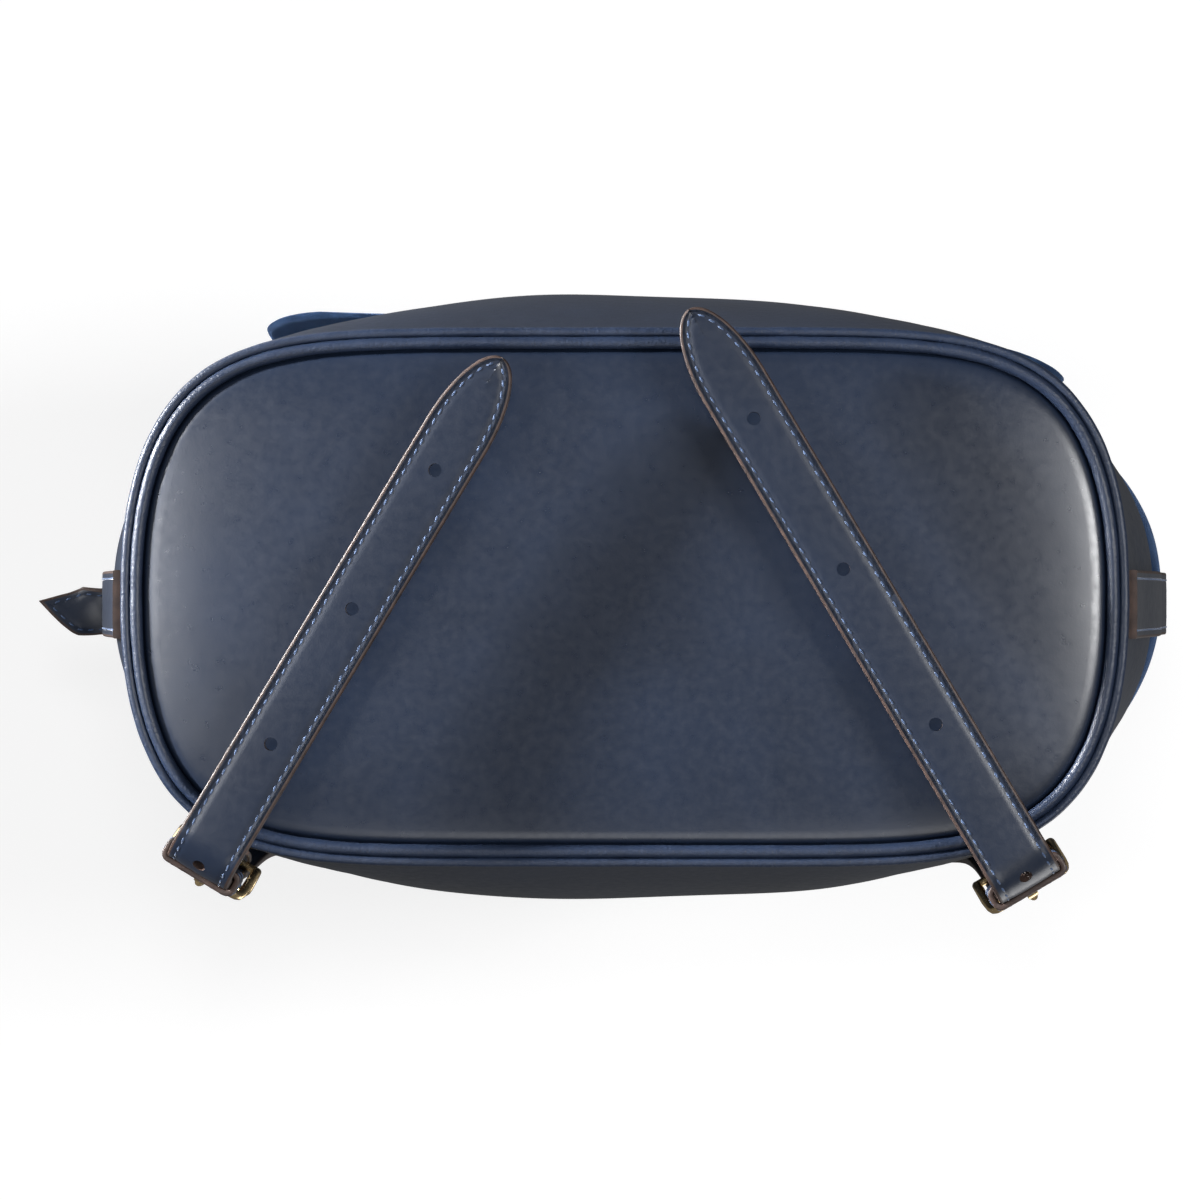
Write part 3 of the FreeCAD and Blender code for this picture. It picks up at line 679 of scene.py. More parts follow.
def build_buckle(side):
    nb, wb, wc, at = local(side)
    no, ni, zb = N_STRAP + T / 2, N_STRAP - T / 2, Z_BUCKLE
    n_out, n_bar = no + 2.85, ni - 1.7
    # bowed frame: rounded rectangle in (w, z)
    path = []
    for w, z in rounded_rect(12.0, 9.8, 4.2):
        q = min(1.0, abs(z) / 8.6)
        n = n_bar + (n_out - n_bar) * (0.5 - 0.5 * math.cos(math.pi * q))
        path.append(at(w, n, zb + z))
    fr = sweep("frame", path, 1.35, M_GOLD, closed=True, sides=18)
    bar = sweep("bar", [at(w, n_bar, zb) for w in np.linspace(-12.0, 12.0, 8)], 1.15, M_GOLD)
    ob = join("buckle_%s_gold" % side, fr, bar)
    place(ob, "bag", "gold_metal", "buckle_frame_" + side)
    zp = zb - 9.6
    ring = []
    for i in range(24):
        a = 2 * math.pi * i / 24
        ring.append((2.1 * math.cos(a), 2.1 * math.sin(a)))
    sleeve = grid("sleeve", np.array([[at(w, n_out + c[0] * q, zp + c[1] * q) for w, q in
              ((-1.5, 0.74), (-1.6, 0.9), (-1.5, 1.12), (-0.9, 1.17), (0.9, 1.17), (1.5, 1.12), (1.6, 0.9), (1.5, 0.74))] for c in ring]),
                  [M_GOLD], closed_u=True, closed_v=True, angle=60)
    arm = [at(0, n_out + 2.25 + 0.6 * math.sin(math.pi * q), zp + 1.0 + (zb + 11.6 - zp - 1.0) * q) for q in np.linspace(0, 1, 18)]
    rad = [1.2 - 0.3 * q for q in np.linspace(0, 1, 17)] + [0.45]
    arm = sweep("arm", arm, rad, M_GOLD)
    peg = sweep("peg", [at(0, n, Z_BUCKLE + 1.5) for n in (no - 1.2, no - 1.0, no + 0.5, n_out + 2.4)], [0.6, 0.9, 0.9, 0.9], M_GOLD)
    pr = join("prong_%s_gold" % side, sleeve, arm, peg)
    place(pr, "buckle_prong_" + side, "gold_metal", "buckle_prong_" + side)
    # keeper loop
    kp, kt = closed_band("keeper_%s_leather" % side, at, rounded_rect(HW + 1.15, T / 2 + 1.2, 1.7, N_STRAP), 13.4, 23.0, 1.7)
    place(kp, "bag", "strap_leather", "keeper_" + side)
    place(kt, "bag", "strap_leather")
    # chape: up from the base seam, round the bar, back down
    wall_n = []
    z_vals = np.linspace(20.4, zb - 2.2, 16)
    sp_ = [p for p in z_vals]
    st, hw = [], []
    for z in sp_:
        sec = section(z)[1]
        mm = (sec @ nb[:2])[np.abs(sec @ wb[:2] - wc) < HW + 1]
        base_n = mm[mm > 0].max() + 0.95
        q = (z - 20.4) / (zb - 22.6)
        target = n_bar - 2.0
        nn = base_n + (target - base_n) * max(0.0, q) ** 2 if target > base_n else base_n
        st.append([at(0, nn, z), nb]); hw.append(HW - 0.5)
    for i in range(1, 9):
        a = math.pi * i / 8
        st.append([at(0, n_bar - 2.0 * math.cos(a), zb - 0.8 + 2.0 * math.sin(a)), -nb * 0 + nb * math.cos(a) * 1.0 - np.array([0, 0, -1.0]) * 0 * a])
        hw.append(HW - 0.5)
    P = np.array([p[0] for p in st])
    tan = np.gradient(P, axis=0); tan /= np.linalg.norm(tan, axis=1)[:, None]
    st2 = []
    for i in range(len(P)):
        n = np.cross(tan[i], wb); n /= np.linalg.norm(n)
        st2.append((P[i], wb, n))
    ob, th = strap("chape_%s_leather" % side, st2[:-2], hw[:-2], 1.4, inset=2.0, faces=(-1, 1), crown=0.3)
    place(ob, "bag", "strap_leather", "chape_" + side)
    place(th, "bag", "strap_leather")


# ------------------------------------------------------------------ leather body
def band_piece(name, u0, u1, nu, z_list, outer, inner, mats, closed=False, edge=None, angle=45, zfun=None):
    """Shell piece between shares u0 and u1 of the way round. outer/inner: offset as f(u, z)."""
    us = np.linspace(u0, u1, nu, endpoint=not closed)
    P = np.zeros((nu, 2 * len(z_list), 3))
    for j, z in enumerate(z_list):
        o = np.array([outer(u, z) for u in us])
        i_ = np.array([inner(u, z) for u in us])
        po, pi = on_wall(us, z, 0.0), on_wall(us, z, 1.0)
        nrm = pi - po
        P[:, j] = po + nrm * o[:, None]
        P[:, 2 * len(z_list) - 1 - j] = po + nrm * i_[:, None]
        if zfun:
            dz = np.array([zfun(u, z) for u in us])
            P[:, j, 2] += dz
            P[:, 2 * len(z_list) - 1 - j, 2] += dz
    return grid(name, P, mats, closed_u=closed, closed_v=True, angle=angle)


def soft(u, z, amp=1.0):
    """Slow unevenness of soft leather, zero at the base seam."""
    a = 2 * math.pi * u
    k = min(1.0, max(0.0, (z - 22.0) / 60.0))
    return amp * k * (0.5 * math.sin(3 * a + 0.8 + z * 0.011) + 0.35 * math.sin(7 * a + 1.9 - z * 0.017) + 0.25 * math.sin(11 * a + z * 0.03))


def seam_share(y_abs, z, back, right):
    cum, pts, _, _ = section(z)
    sel = (np.abs(pts[:-1, 1] - (y_abs if back else -y_abs)) < 0.6) & ((pts[:-1, 0] > 0) == right)
    return float(cum[:-1][sel].mean())


ZW = [20.2, 20.8, 22.0, 24.5, 28, 33, 40, 48, 57, 67, 78, 90, 102, 114, 126, 138, 150, 160, 168, 172.5, 174.2, 174.9]
YC = 44.0
U = {}
for key, back, right in (("br", True, True), ("bl", True, False), ("fl", False, False), ("fr", False, True)):
    U[key] = float(np.mean([seam_share(YC, z, back, right) for z in (20, 60, 100, 140, 175)]))
G = 0.0006


def wall_piece(name, u0, u1, nu, nodes, body="bag"):
    def outer(u, z):
        d = min(abs(u - u0), abs(u1 - u)) * 720.0
        seam = -0.9 * math.exp(-(d / 1.3) ** 2) + 0.28 * math.exp(-((d - 3.2) / 1.5) ** 2)
        top = -0.7 * max(0.0, (z - 172.5) / 2.4) ** 2
        return soft(u, z) + seam + top
    def inner(u, z):
        return min(-1.7, soft(u, z) - 1.6)
    ob = band_piece(name, u0 + G, u1 - G, nu, ZW, outer, inner, [M_WALL])
    place(ob, "bag", "wall_leather", *nodes)


wall_piece("wall_back", U["br"], U["bl"], 150, ["back_panel"])
wall_piece("wall_gusset_left", U["bl"], U["fl"], 60, ["gusset_left"])
wall_piece("wall_front", U["fl"], U["fr"], 150, ["front_panel"])
wall_piece("wall_gusset_right", U["fr"] - 1.0, U["br"], 60, ["gusset_right"])

# seam stitches beside the four vertical seams and along the walls' top edge
runs = []
for key in U:
    sgn = 1 if key in ("br", "fl") else -1
    u = U[key] + sgn * 3.0 / 720.0
    run = []
    for z in np.linspace(24, 170, 60):
        p0, p1 = on_wall([u], z, soft(u, z) + 0.30)[0], on_wall([u], z, 1.0)[0] - on_wall([u], z, 0.0)[0]
        run.append((p0, p1))
    runs.append(run)
run = []
for u in np.linspace(0, 1, 300):
    z = 171.0
    run.append((on_wall([u], z, soft(u, z) + 0.02)[0], on_wall([u], z, 1.0)[0] - on_wall([u], z, 0.0)[0]))
runs.append(run)
place(stitches("thread_walls", runs, r=0.28), "bag", "wall_leather")

# base panel: dome with a turned edge that dives into the groove beside the piping
NU = 420
us = np.arange(NU) / NU
prof = []
EDGE = [(-3.9, 21.5), (-5.3, 21.3), (-5.75, 20.9), (-6.0, 20.3), (-6.35, 19.7), (-6.9, 19.2), (-7.7, 18.8), (-8.8, 18.45)]
for off, z in EDGE:
    prof.append(on_wall(us, 20.0, off) * np.array([1, 1, 0]) + np.array([0, 0, z]))
last = on_wall(us, 20.0, EDGE[-1][0])[:, :2]
depth = np.linalg.norm(last, axis=1)
for s in [1 - (1 - q) ** 1.0 for q in np.concatenate([np.linspace(1, 0.6, 34)[1:], np.linspace(0.6, 0, 22)[1:]])]:
    d = (1 - s) * np.minimum(depth, 118.0)
    p = np.zeros((NU, 3)); p[:, :2] = last * s
    p[:, 2] = 15.9 + 0.35 * s * s + 2.2 * np.exp(-d / 15.0) * min(1.0, s * 4)
    prof.append(p)
P = np.stack(prof, 1)
top = [on_wall(us, 20.0, -3.7) * np.array([1, 1, 0]) + np.array([0, 0, 21.6])]
P = np.concatenate([np.stack(top, 1), P], 1)
ob = grid("base_leather_panel", P, [M_BASE], closed_u=True, closed_v=False, angle=60)
place(ob, "bag", "base_leather", "base_panel")
dress("base_board", M_BOARD)

# piping: rolled bead, slightly uneven, beside the turned edge of the wall
NP = 620
up_ = np.arange(NP) / NP
nrm = on_wall(up_, 20.0, 1.0) - on_wall(up_, 20.0, 0.0)
parts = []
for nm, off0, zc, ra, rz, ex in (("bead", -3.75, 19.75, 1.75, 2.0, 1.0), ("flange", -0.75, 20.2, 1.35, 1.75, 0.85)):
    c = on_wall(up_, 20.0, off0)
    rings = []
    for i in range(NP):
        a = 2 * math.pi * up_[i]
        k_ = 1 + 0.02 * math.sin(31 * a) + 0.018 * math.sin(47 * a + 1) + 0.012 * math.sin(83 * a)
        ring = []
        for k in range(18):
            t = 2 * math.pi * k / 18
            ct, st_ = math.cos(t), math.sin(t)
            ring.append(np.array([c[i][0], c[i][1], zc]) + nrm[i] * (ra * k_ * math.copysign(abs(ct) ** ex, ct)) + np.array([0, 0, rz * k_ * math.copysign(abs(st_) ** ex, st_)]))
        rings.append(ring)
    parts.append(grid(nm, np.array(rings), [M_PIPE], closed_u=True, closed_v=True, angle=70))
ob = join("base_piping_bead", *parts)
place(ob, "bag", "base_leather", "base_piping")


# ------------------------------------------------------------------ suede collar, mouth
def pleat(u, z):
    a = 2 * math.pi * u
    k = max(0.0, min(1.0, (z - 185.0) / 90.0))
    side = abs(math.cos(a)) ** 1.5
    g = math.sin(23 * a + 0.6 * math.sin(5 * a)) + 0.5 * math.sin(41 * a + 1.3)
    return k * k * (1.1 + 1.6 * side) * g * 0.8


def collar_out(u, z):
    e = min(1.0, max(0.0, (z - 175.4) / 5.0))
    bulge = 1.2 * math.exp(-((z - 200.0) / 22.0) ** 2) + 2.4 * math.exp(-((z - 215.0) / 30.0) ** 2) * math.exp(-(((u + 0.5) % 1.0 - 0.5) / 0.09) ** 2)
    fine = 0.5 * math.sin(2 * math.pi * u * 9 + z * 0.05)
    return -0.2 + 2.0 * math.sqrt(e) + bulge * (0.6 + 0.4 * abs(math.cos(2 * math.pi * u))) + pleat(u, z) + fine * e * 0.6


ZC = [175.4, 176.0, 177.0, 179, 182, 186, 191, 197, 204, 212, 220, 229, 238, 247, 256, 265, 274, 282, 289, 294.5, 298, 300]
ob = band_piece("collar_suede", 0, 1, 560, ZC, collar_out, lambda u, z: min(collar_out(u, z) - 1.9, -0.3 + pleat(u, z)), [M_SUEDE], closed=True, angle=60)
place(ob, "bag", "suede", "suede_collar")

NB = 560
ub = np.arange(NB) / NB
G2 = []
for i, u in enumerate(ub):
    o = pleat(u, 300)
    ctr = on_wall([u], 300.0, o)[0]
    n = on_wall([u], 300, 1.0)[0] - on_wall([u], 300, 0.0)[0]
    ring = []
    for k in range(16):
        t = 2 * math.pi * k / 16
        ring.append(ctr + n * (2.7 * math.copysign(abs(math.cos(t)) ** 0.8, math.cos(t))) + np.array([0, 0, -0.6 + 3.6 * math.copysign(abs(math.sin(t)) ** 0.8, math.sin(t))]))
    G2.append(ring)
ob = grid("mouth_binding_leather", np.array(G2), [M_STRAP], closed_u=True, closed_v=True, angle=70)
place(ob, "bag", "wall_leather", "mouth_binding")
runs = [[(on_wall([u], 297.6, pleat(u, 300) + 2.6)[0], on_wall([u], 300, 1.0)[0] - on_wall([u], 300, 0.0)[0]) for u in np.linspace(0, 1, 400)]]
place(stitches("thread_mouth", runs, r=0.28), "bag", "wall_leather")

dress("lining", M_LINING)
dress("inner_pocket", M_LINING)

# ------------------------------------------------------------------ side bands
for side, s in (("right", 1), ("left", -1)):
    st, hw = [], []
    zs = list(np.linspace(20.8, 176, 60)) + [178.5, 180.0, 180.8]
    for z in zs:
        off = 0.35 + 1.15 + 2.2 * min(1.0, max(0.0, (z - 150.0) / 24.0)) + abs(soft(0.0 if s > 0 else 0.5, z)) * 0.6
        x = wall_x(2.0, z) + off
        st.append([np.array([s * x, 2.0, z])]); hw.append(HW if z < 176 else HW * (1 - 0.02 * (z - 176) ** 1.2))
    P = np.array([p[0] for p in st])
    tan = np.gradient(P, axis=0); tan /= np.linalg.norm(tan, axis=1)[:, None]
    st2 = []
    for i in range(len(P)):
        w = np.array([0, 1.0, 0]) * s
        n = np.cross(w, tan[i]); n /= np.linalg.norm(n)
        st2.append((P[i], w, n if n[0] * s > 0 else -n))
    ob, th = strap("side_band_%s_leather" % side, st2, hw, 2.3, inset=2.3, ends=(len(st2) - 1,), crown=0.6)
    place(ob, "bag", "strap_leather", "side_band_" + side)
    place(th, "bag", "strap_leather")

# ------------------------------------------------------------------ cinch strap with its pointed end
ctrl = [(-123.0, 3.75, 185.0, 7.4, 0), (-140.0, 3.75, 185.0, 7.4, 0), (-152.0, 3.75, 185.0, 7.4, 0), (-158.5, 3.9, 185.0, 7.4, 12), (-163.5, 4.3, 184.6, 7.5, 26), (-168.5, 4.6, 183.6, 7.6, 20),
        (-173.0, 4.4, 182.6, 7.6, 6), (-176.5, 3.7, 182.0, 5.6, 0), (-180.5, 2.6, 181.4, 3.2, -4), (-185.4, 1.2, 180.8, 0.06, -6)]
cs = np.array(ctrl, float)
tt = np.concatenate([[0], np.cumsum(np.linalg.norm(np.diff(cs[:, :3], axis=0), axis=1))])
S = np.concatenate([np.linspace(0, tt[6], 50), np.linspace(tt[6], tt[-1], 26)[1:]])
Q = np.stack([np.interp(S, tt, cs[:, j]) for j in range(5)], 1)
for _ in range(6):
    Q[1:-1, [0, 1, 2, 4]] = Q[1:-1, [0, 1, 2, 4]] * 0.5 + (Q[:-2, [0, 1, 2, 4]] + Q[2:, [0, 1, 2, 4]]) * 0.25
tan = np.gradient(Q[:, :3], axis=0); tan /= np.linalg.norm(tan, axis=1)[:, None]
st, hw = [], []
for i in range(len(Q)):
    a = math.radians(Q[i, 4])
    w = np.array([0, math.cos(a), math.sin(a)])
    w = w - tan[i] * w.dot(tan[i]); w /= np.linalg.norm(w)
    n = np.cross(tan[i], w); n /= np.linalg.norm(n)
    if n[2] > 0:
        n = -n
    st.append((Q[i, :3], w, n)); hw.append(Q[i, 3])
ob, _ = strap("cinch_strap_leather", st, hw, 1.9, crown=0.4, stitch=False)
tip = [i for i in range(len(st)) if Q[i, 0] < -164.5]
spare, th = strap("cinch_tip", [st[i] for i in tip], [hw[i] for i in tip], 1.9, inset=1.9, crown=0.4, faces=(1, -1))
bpy.data.objects.remove(spare)
place(ob, "cinch", "strap_leather", "cinch_strap")
place(th, "cinch", "strap_leather")
dress("cinch_guide", M_STRAP)

# ------------------------------------------------------------------ straps, buckles
rv = []
for side in SIDES:
    build_strap_end(side)
    rv.append(build_shoulder_strap(side))
    build_buckle(side)
ob = join("rivets_gold", *rv)
place(ob, "bag", "gold_metal", "rivets")

# ------------------------------------------------------------------ back yoke, handle
def patch(name, u0, u1, z0, z1, off, thick, mat, nodes, rc=8.0, zc=None):
    nu, nz = 60, 34
    uc, hu = (u0 + u1) / 2, (u1 - u0) / 2
    P = np.zeros((2, nz, nu, 3))
    for j in range(nz):
        v = j / (nz - 1)
        z = z0 + (z1 - z0) * v
        d = min(z - z0, z1 - z)
        shrink = 0.0 if d >= rc else rc - math.sqrt(max(0.0, rc * rc - (rc - d) ** 2))
        h = hu - shrink / 720.0
        for i in range(nu):
            w = i / (nu - 1) * 2 - 1
            u = uc + h * w
            e = min(1.0, min((1 - abs(w)) * h * 720.0, d) / 1.2)
            o = off + pleat(u, z) * 0.4
            P[0, j, i] = on_wall([u], z, o + thick * (0.55 + 0.45 * math.sqrt(e)))[0]
            P[1, j, i] = on_wall([u], z, o)[0]
    V = P.reshape(-1, 3)
    F, FM = [], []
    idx = lambda s, j, i: s * nz * nu + j * nu + i
    for s in (0, 1):
        for j in range(nz - 1):
            for i in range(nu - 1):
                F.append((idx(s, j, i), idx(s, j, i + 1), idx(s, j + 1, i + 1), idx(s, j + 1, i))); FM.append(0)
    for j in range(nz - 1):
        for i in (0, nu - 1):
            F.append((idx(0, j, i), idx(0, j + 1, i), idx(1, j + 1, i), idx(1, j, i))); FM.append(1)
    for i in range(nu - 1):
        for j in (0, nz - 1):
            F.append((idx(0, j, i), idx(0, j, i + 1), idx(1, j, i + 1), idx(1, j, i))); FM.append(1)
    ob = new_object(name, V, F, [mat, M_EDGE], FM, angle=50)
    run = []
    m_ = 2.4
    for (a, b, n) in (((-1, 0), (-1, 1), 30), ((-1, 1), (1, 1), 30), ((1, 1), (1, 0), 30), ((1, 0), (-1, 0), 30)):
        for q in np.linspace(0, 1, n):
            w = a[0] + (b[0] - a[0]) * q
            v = a[1] + (b[1] - a[1]) * q
            z = z0 + m_ + (z1 - z0 - 2 * m_) * v
            d = min(z - z0, z1 - z)
            shrink = 0.0 if d >= rc else rc - math.sqrt(max(0.0, rc * rc - (rc - d) ** 2))
            u = uc + (hu - (shrink * 0.9 + m_) / 720.0) * w
            run.append((on_wall([u], z, off + pleat(u, z) * 0.4 + thick)[0], on_wall([u], z, 1.0)[0] - on_wall([u], z, 0.0)[0]))
    th = stitches("thread_" + name, [run], r=0.28)
    place(ob, "bag", "wall_leather", *nodes)
    place(th, "bag", "wall_leather")


def share_at(x, z, back=True):
    cum, pts, _, _ = section(z)
    half = pts[:-1, 1] > 0 if back else pts[:-1, 1] < 0
    i = np.argmin(np.where(half, np.abs(pts[:-1, 0] - x), 1e9))
    return float(cum[i])


patch("back_yoke_leather", share_at(46, 257), share_at(-46, 257), 222, 292, 2.6, 2.0, M_WALL, ["back_yoke"])

HY, HZ, HR = 88.4, 262.0, 34.0
ZL = 232.0
path = []
for q in np.linspace(0, 1, 14):
    path.append((HR, HY, HZ - 3.0 + (ZL - HZ + 3.0) * q))
for a in np.linspace(0, 180, 40)[1:-1]:
    path.append((HR * math.cos(math.radians(a)), HY, ZL - HR * math.sin(math.radians(a))))
for q in np.linspace(0, 1, 14):
    path.append((-HR, HY, ZL + (HZ - 3.0 - ZL) * q))
rad = [3.4, 3.9, 4.15] + [4.2] * (len(path) - 6) + [4.15, 3.9, 3.4]
core = sweep("core", path, rad, M_STRAP, sides=22)
ears = []
for sx in (-1, 1):
    ring = [(3.1 * math.cos(2 * math.pi * i / 28), 3.1 * math.sin(2 * math.pi * i / 28)) for i in range(28)]
    g = np.array([[(sx * HR + w, HY + c[0] * q, HZ + c[1] * q) for w, q in
                   ((-5.5, 0.62), (-5.7, 0.9), (-5.5, 1.3), (-4.9, 1.4), (4.9, 1.4), (5.5, 1.3), (5.7, 0.9), (5.5, 0.62))] for c in ring])
    ears.append(grid("ear", g, [M_STRAP], closed_u=True, closed_v=True, angle=50))
h = join("handle_leather", core, *ears)
place(h, "handle", "strap_leather", "top_handle")
run = []
for p, q in zip(path[2:-2], path[3:-1]):
    n = np.array([0, 1.0, 0])
    run.append((np.array(p) + n * 4.15, n))
place(stitches("thread_handle", [run], r=0.28), "handle", "strap_leather")
posts = []
for sx in (-1, 1):
    posts.append(sweep("pin", [(sx * HR + w, HY, HZ) for w in (-8.6, -8.3, 0, 8.3, 8.6)], [0.9, 1.5, 1.5, 1.5, 0.9], M_GOLD, sides=20))
    for c in (-7.2, 7.2):
        x = sx * HR + c
        yw = wall_y(HR, HZ) + 4.4
        prof = []
        for i in range(30):
            a = 2 * math.pi * i / 30
            yy, zz = math.cos(a), math.sin(a)
            y = HY + 3.3 * yy if yy > 0 else HY + (HY - yw) * yy * (1.0)
            z = HZ + 3.3 * math.copysign(abs(zz) ** (1.0 if yy > 0 else 0.45), zz)
            prof.append((y, z))
        cy = (HY + yw) / 2
        g = np.array([[(x + w, cy + (y - cy) * q, HZ + (z - HZ) * q) for w, q in ((-1.1, 0.02), (-1.1, 0.85), (-0.8, 1.0), (0.8, 1.0), (1.1, 0.85), (1.1, 0.02))] for y, z in prof])
        posts.append(grid("ear", g, [M_GOLD], closed_u=True, closed_v=True, angle=40))
    yf = wall_y(HR, HZ) + 4.6
    g = []
    for i in range(40):
        a = 2 * math.pi * i / 40
        cx, cz = math.copysign(abs(math.cos(a)) ** 0.35, math.cos(a)), math.copysign(abs(math.sin(a)) ** 0.35, math.sin(a))
        g.append([(sx * HR + 9.2 * cx * q, yf + h_, HZ + 4.4 * cz * q) for q, h_ in ((0.02, 1.4), (0.9, 1.4), (1.0, 0.9), (1.0, -2.2), (0.02, -2.2))])
    posts.append(grid("plate", np.array(g), [M_GOLD], closed_u=True, closed_v=True, angle=40))
ob = join("handle_posts_gold", *posts)
place(ob, "bag", "gold_metal", "handle_posts")

# ------------------------------------------------------------------ flap
FH, FC = 116.0, 9.5
YH, ZH = 66.0, 308.0
FZ = 150.0


def flap_point(x, s, off):
    """s: 0 at the back hinge, 1 at the front turn, 2 at the lower edge; off from the inner face."""
    if s <= 1:
        y_front = -wall_y(x, 300.0, 2.8)
        y = 59.5 + (y_front + 5.0 - 59.5) * s
        crown = 2.2 * math.sin(math.pi * min(1, s)) * (1 - (x / 130) ** 2)
        z = 305.6 + crown - 1.4 * (abs(x - FC) / FH) ** 4
        return np.array([x, y, z + off]), None
    q = s - 1
    z = 302.0 - (302.0 - FZ) * q
    xs = x
    k = min(1.0, max(0.0, (300.0 - z) / 150.0)) ** 2.2
    flare = 0.4 * math.sin(xs * 0.05 + 1.0) * q
    if xs < -45.0:
        flare += 15.5 * k * min(1.4, ((-45.0 - xs) / 60.0) ** 2)
    if xs > 70.0:
        flare += 9.5 * k * min(1.4, ((xs - 70.0) / 55.0) ** 2)
    o = 2.8 + off + flare + 0.4 * math.sin(math.pi * q)
    x_c = max(-150.0, min(150.0, xs))
    u = share_at_f(x_c, z)
    return on_wall([u], z, o)[0], None


_sf = {}


def share_at_f(x, z):
    key = round(z, 2)
    if key not in _sf:
        cum, pts, _, _ = section(z)
        sel = pts[:-1, 1] < 0
        xs, cs_ = pts[:-1, 0][sel], cum[:-1][sel]
        o = np.argsort(xs)
        _sf[key] = (xs[o], cs_[o])
    xs, cs_ = _sf[key]
    return float(np.interp(x, xs, cs_))


nx, ns = 120, 150
svals = np.concatenate([np.linspace(0, 0.94, 50), np.linspace(1.02, 2.0, 100)])
rc = 22.0
sheet_pts = np.zeros((2, ns, nx, 3))
for j, s in enumerate(svals):
    q = s - 1
    down = max(0.0, q) * 152.0
    d = 152.0 - down
    half = FH
    if q > 0 and d < rc:
        half = FH - (rc - math.sqrt(max(0.0, rc * rc - (rc - d) ** 2)))
    if s < 0.12:
        half = FH - 14.0 * (1 - s / 0.12) ** 2
    for i in range(nx):
        w = i / (nx - 1) * 2 - 1
        w = math.copysign(1 - (1 - abs(w)) ** 1.25, w)
        x = FC + half * w
        ed = min((1 - abs(w)) * half, max(d, 0.0) if q > 0 else 99)
        th = 2.7 * (0.45 + 0.55 * math.sqrt(min(1.0, ed / 2.2)))
        mid = 1.5
        sheet_pts[0, j, i] = flap_point(x, s, mid + th / 2)[0]
        sheet_pts[1, j, i] = flap_point(x, s, mid - th / 2)[0]
# round the turn between lid and drape
for k in range(2):
    for _ in range(10):
        a = sheet_pts[k, 44:62].copy()
        sheet_pts[k, 45:61] = a[1:-1] * 0.5 + (a[:-2] + a[2:]) * 0.25
V = sheet_pts.reshape(-1, 3)
F = []
idx = lambda s, j, i: s * ns * nx + j * nx + i
for s in (0, 1):
    for j in range(ns - 1):
        for i in range(nx - 1):
            F.append((idx(s, j, i), idx(s, j, i + 1), idx(s, j + 1, i + 1), idx(s, j + 1, i)))
for j in range(ns - 1):
    for i in (0, nx - 1):
        F.append((idx(0, j, i), idx(0, j + 1, i), idx(1, j + 1, i), idx(1, j, i)))
for i in range(nx - 1):
    for j in (0, ns - 1):
        F.append((idx(0, j, i), idx(0, j, i + 1), idx(1, j, i + 1), idx(1, j, i)))
ob = new_object("flap_suede", V, F, [M_SUEDE], angle=60)
place(ob, "flap", "suede", "suede_flap")
# stitch line round the flap's free edge
run = []
ins = 5
for j in list(range(8, ns - 5, 2)):
    run.append(j)
left = [(sheet_pts[0, j, ins], np.cross(sheet_pts[0, j, ins + 1] - sheet_pts[0, j, ins], sheet_pts[0, j + 1, ins] - sheet_pts[0, j, ins])) for j in run]
bottom = [(sheet_pts[0, ns - 6, i], np.cross(sheet_pts[0, ns - 6, i + 1] - sheet_pts[0, ns - 6, i], sheet_pts[0, ns - 5, i] - sheet_pts[0, ns - 6, i])) for i in range(ins, nx - ins - 1, 2)]
right = [(sheet_pts[0, j, nx - 1 - ins], np.cross(sheet_pts[0, j, nx - ins] - sheet_pts[0, j, nx - 1 - ins], sheet_pts[0, j + 1, nx - 1 - ins] - sheet_pts[0, j, nx - 1 - ins])) for j in run]
fixed = []
for r_ in (left, bottom, right):
    out = []
    for p, n in r_:
        n = n / np.linalg.norm(n)
        if n[1] > 0.1 or n[2] < -0.5:
            n = -n
        out.append((p + n * 0.0, n))
    fixed.append(out)
place(stitches("thread_flap", fixed, r=0.28), "flap", "suede")

# hinge strip, sewn on the lid's back edge and rolled over the bend
st = []
for q in np.linspace(0, 1, 22):
    y = 44.5 + 20.0 * q
    z = 310.9 + 0.0 * q - 3.4 * max(0.0, (q - 0.72) / 0.28) ** 2
    st.append(np.array([0, y, z]))
P = np.array(st)
tan = np.gradient(P, axis=0); tan /= np.linalg.norm(tan, axis=1)[:, None]
st2 = [(P[i], np.array([1.0, 0, 0]), np.cross(np.array([1.0, 0, 0]), tan[i])) for i in range(len(P))]
ob, th = strap("flap_hinge_leather", st2, [70.0] * len(st2), 1.5, inset=2.4, ends=(0,), crown=0.2)
roll = sweep("roll", [(x, YH, ZH) for x in np.linspace(-69.5, 69.5, 30)], 1.6, M_STRAP)
ob = join("flap_hinge_leather_strip", ob, roll)
place(ob, "flap", "strap_leather", "flap_hinge_strip")
place(th, "flap", "strap_leather")
dress("flap_anchor", M_STRAP)
dress("flap_magnet", M_NICKEL)
dress("magnet_socket", M_NICKEL)
mz = 165.0
yb = -wall_y(0, mz, 5.6)
ob = lathe("flap_plate_gold", (0, yb - 0.2, mz), (0, -1, 0), [(0, -0.6), (8.0, -0.6), (8.1, 0.3), (7.6, 0.9), (6.9, 1.05), (6.5, 0.85), (4.0, 1.1), (0, 1.25)], M_GOLD, sides=64)
place(ob, "flap", "gold_metal", "flap_badge_plate")

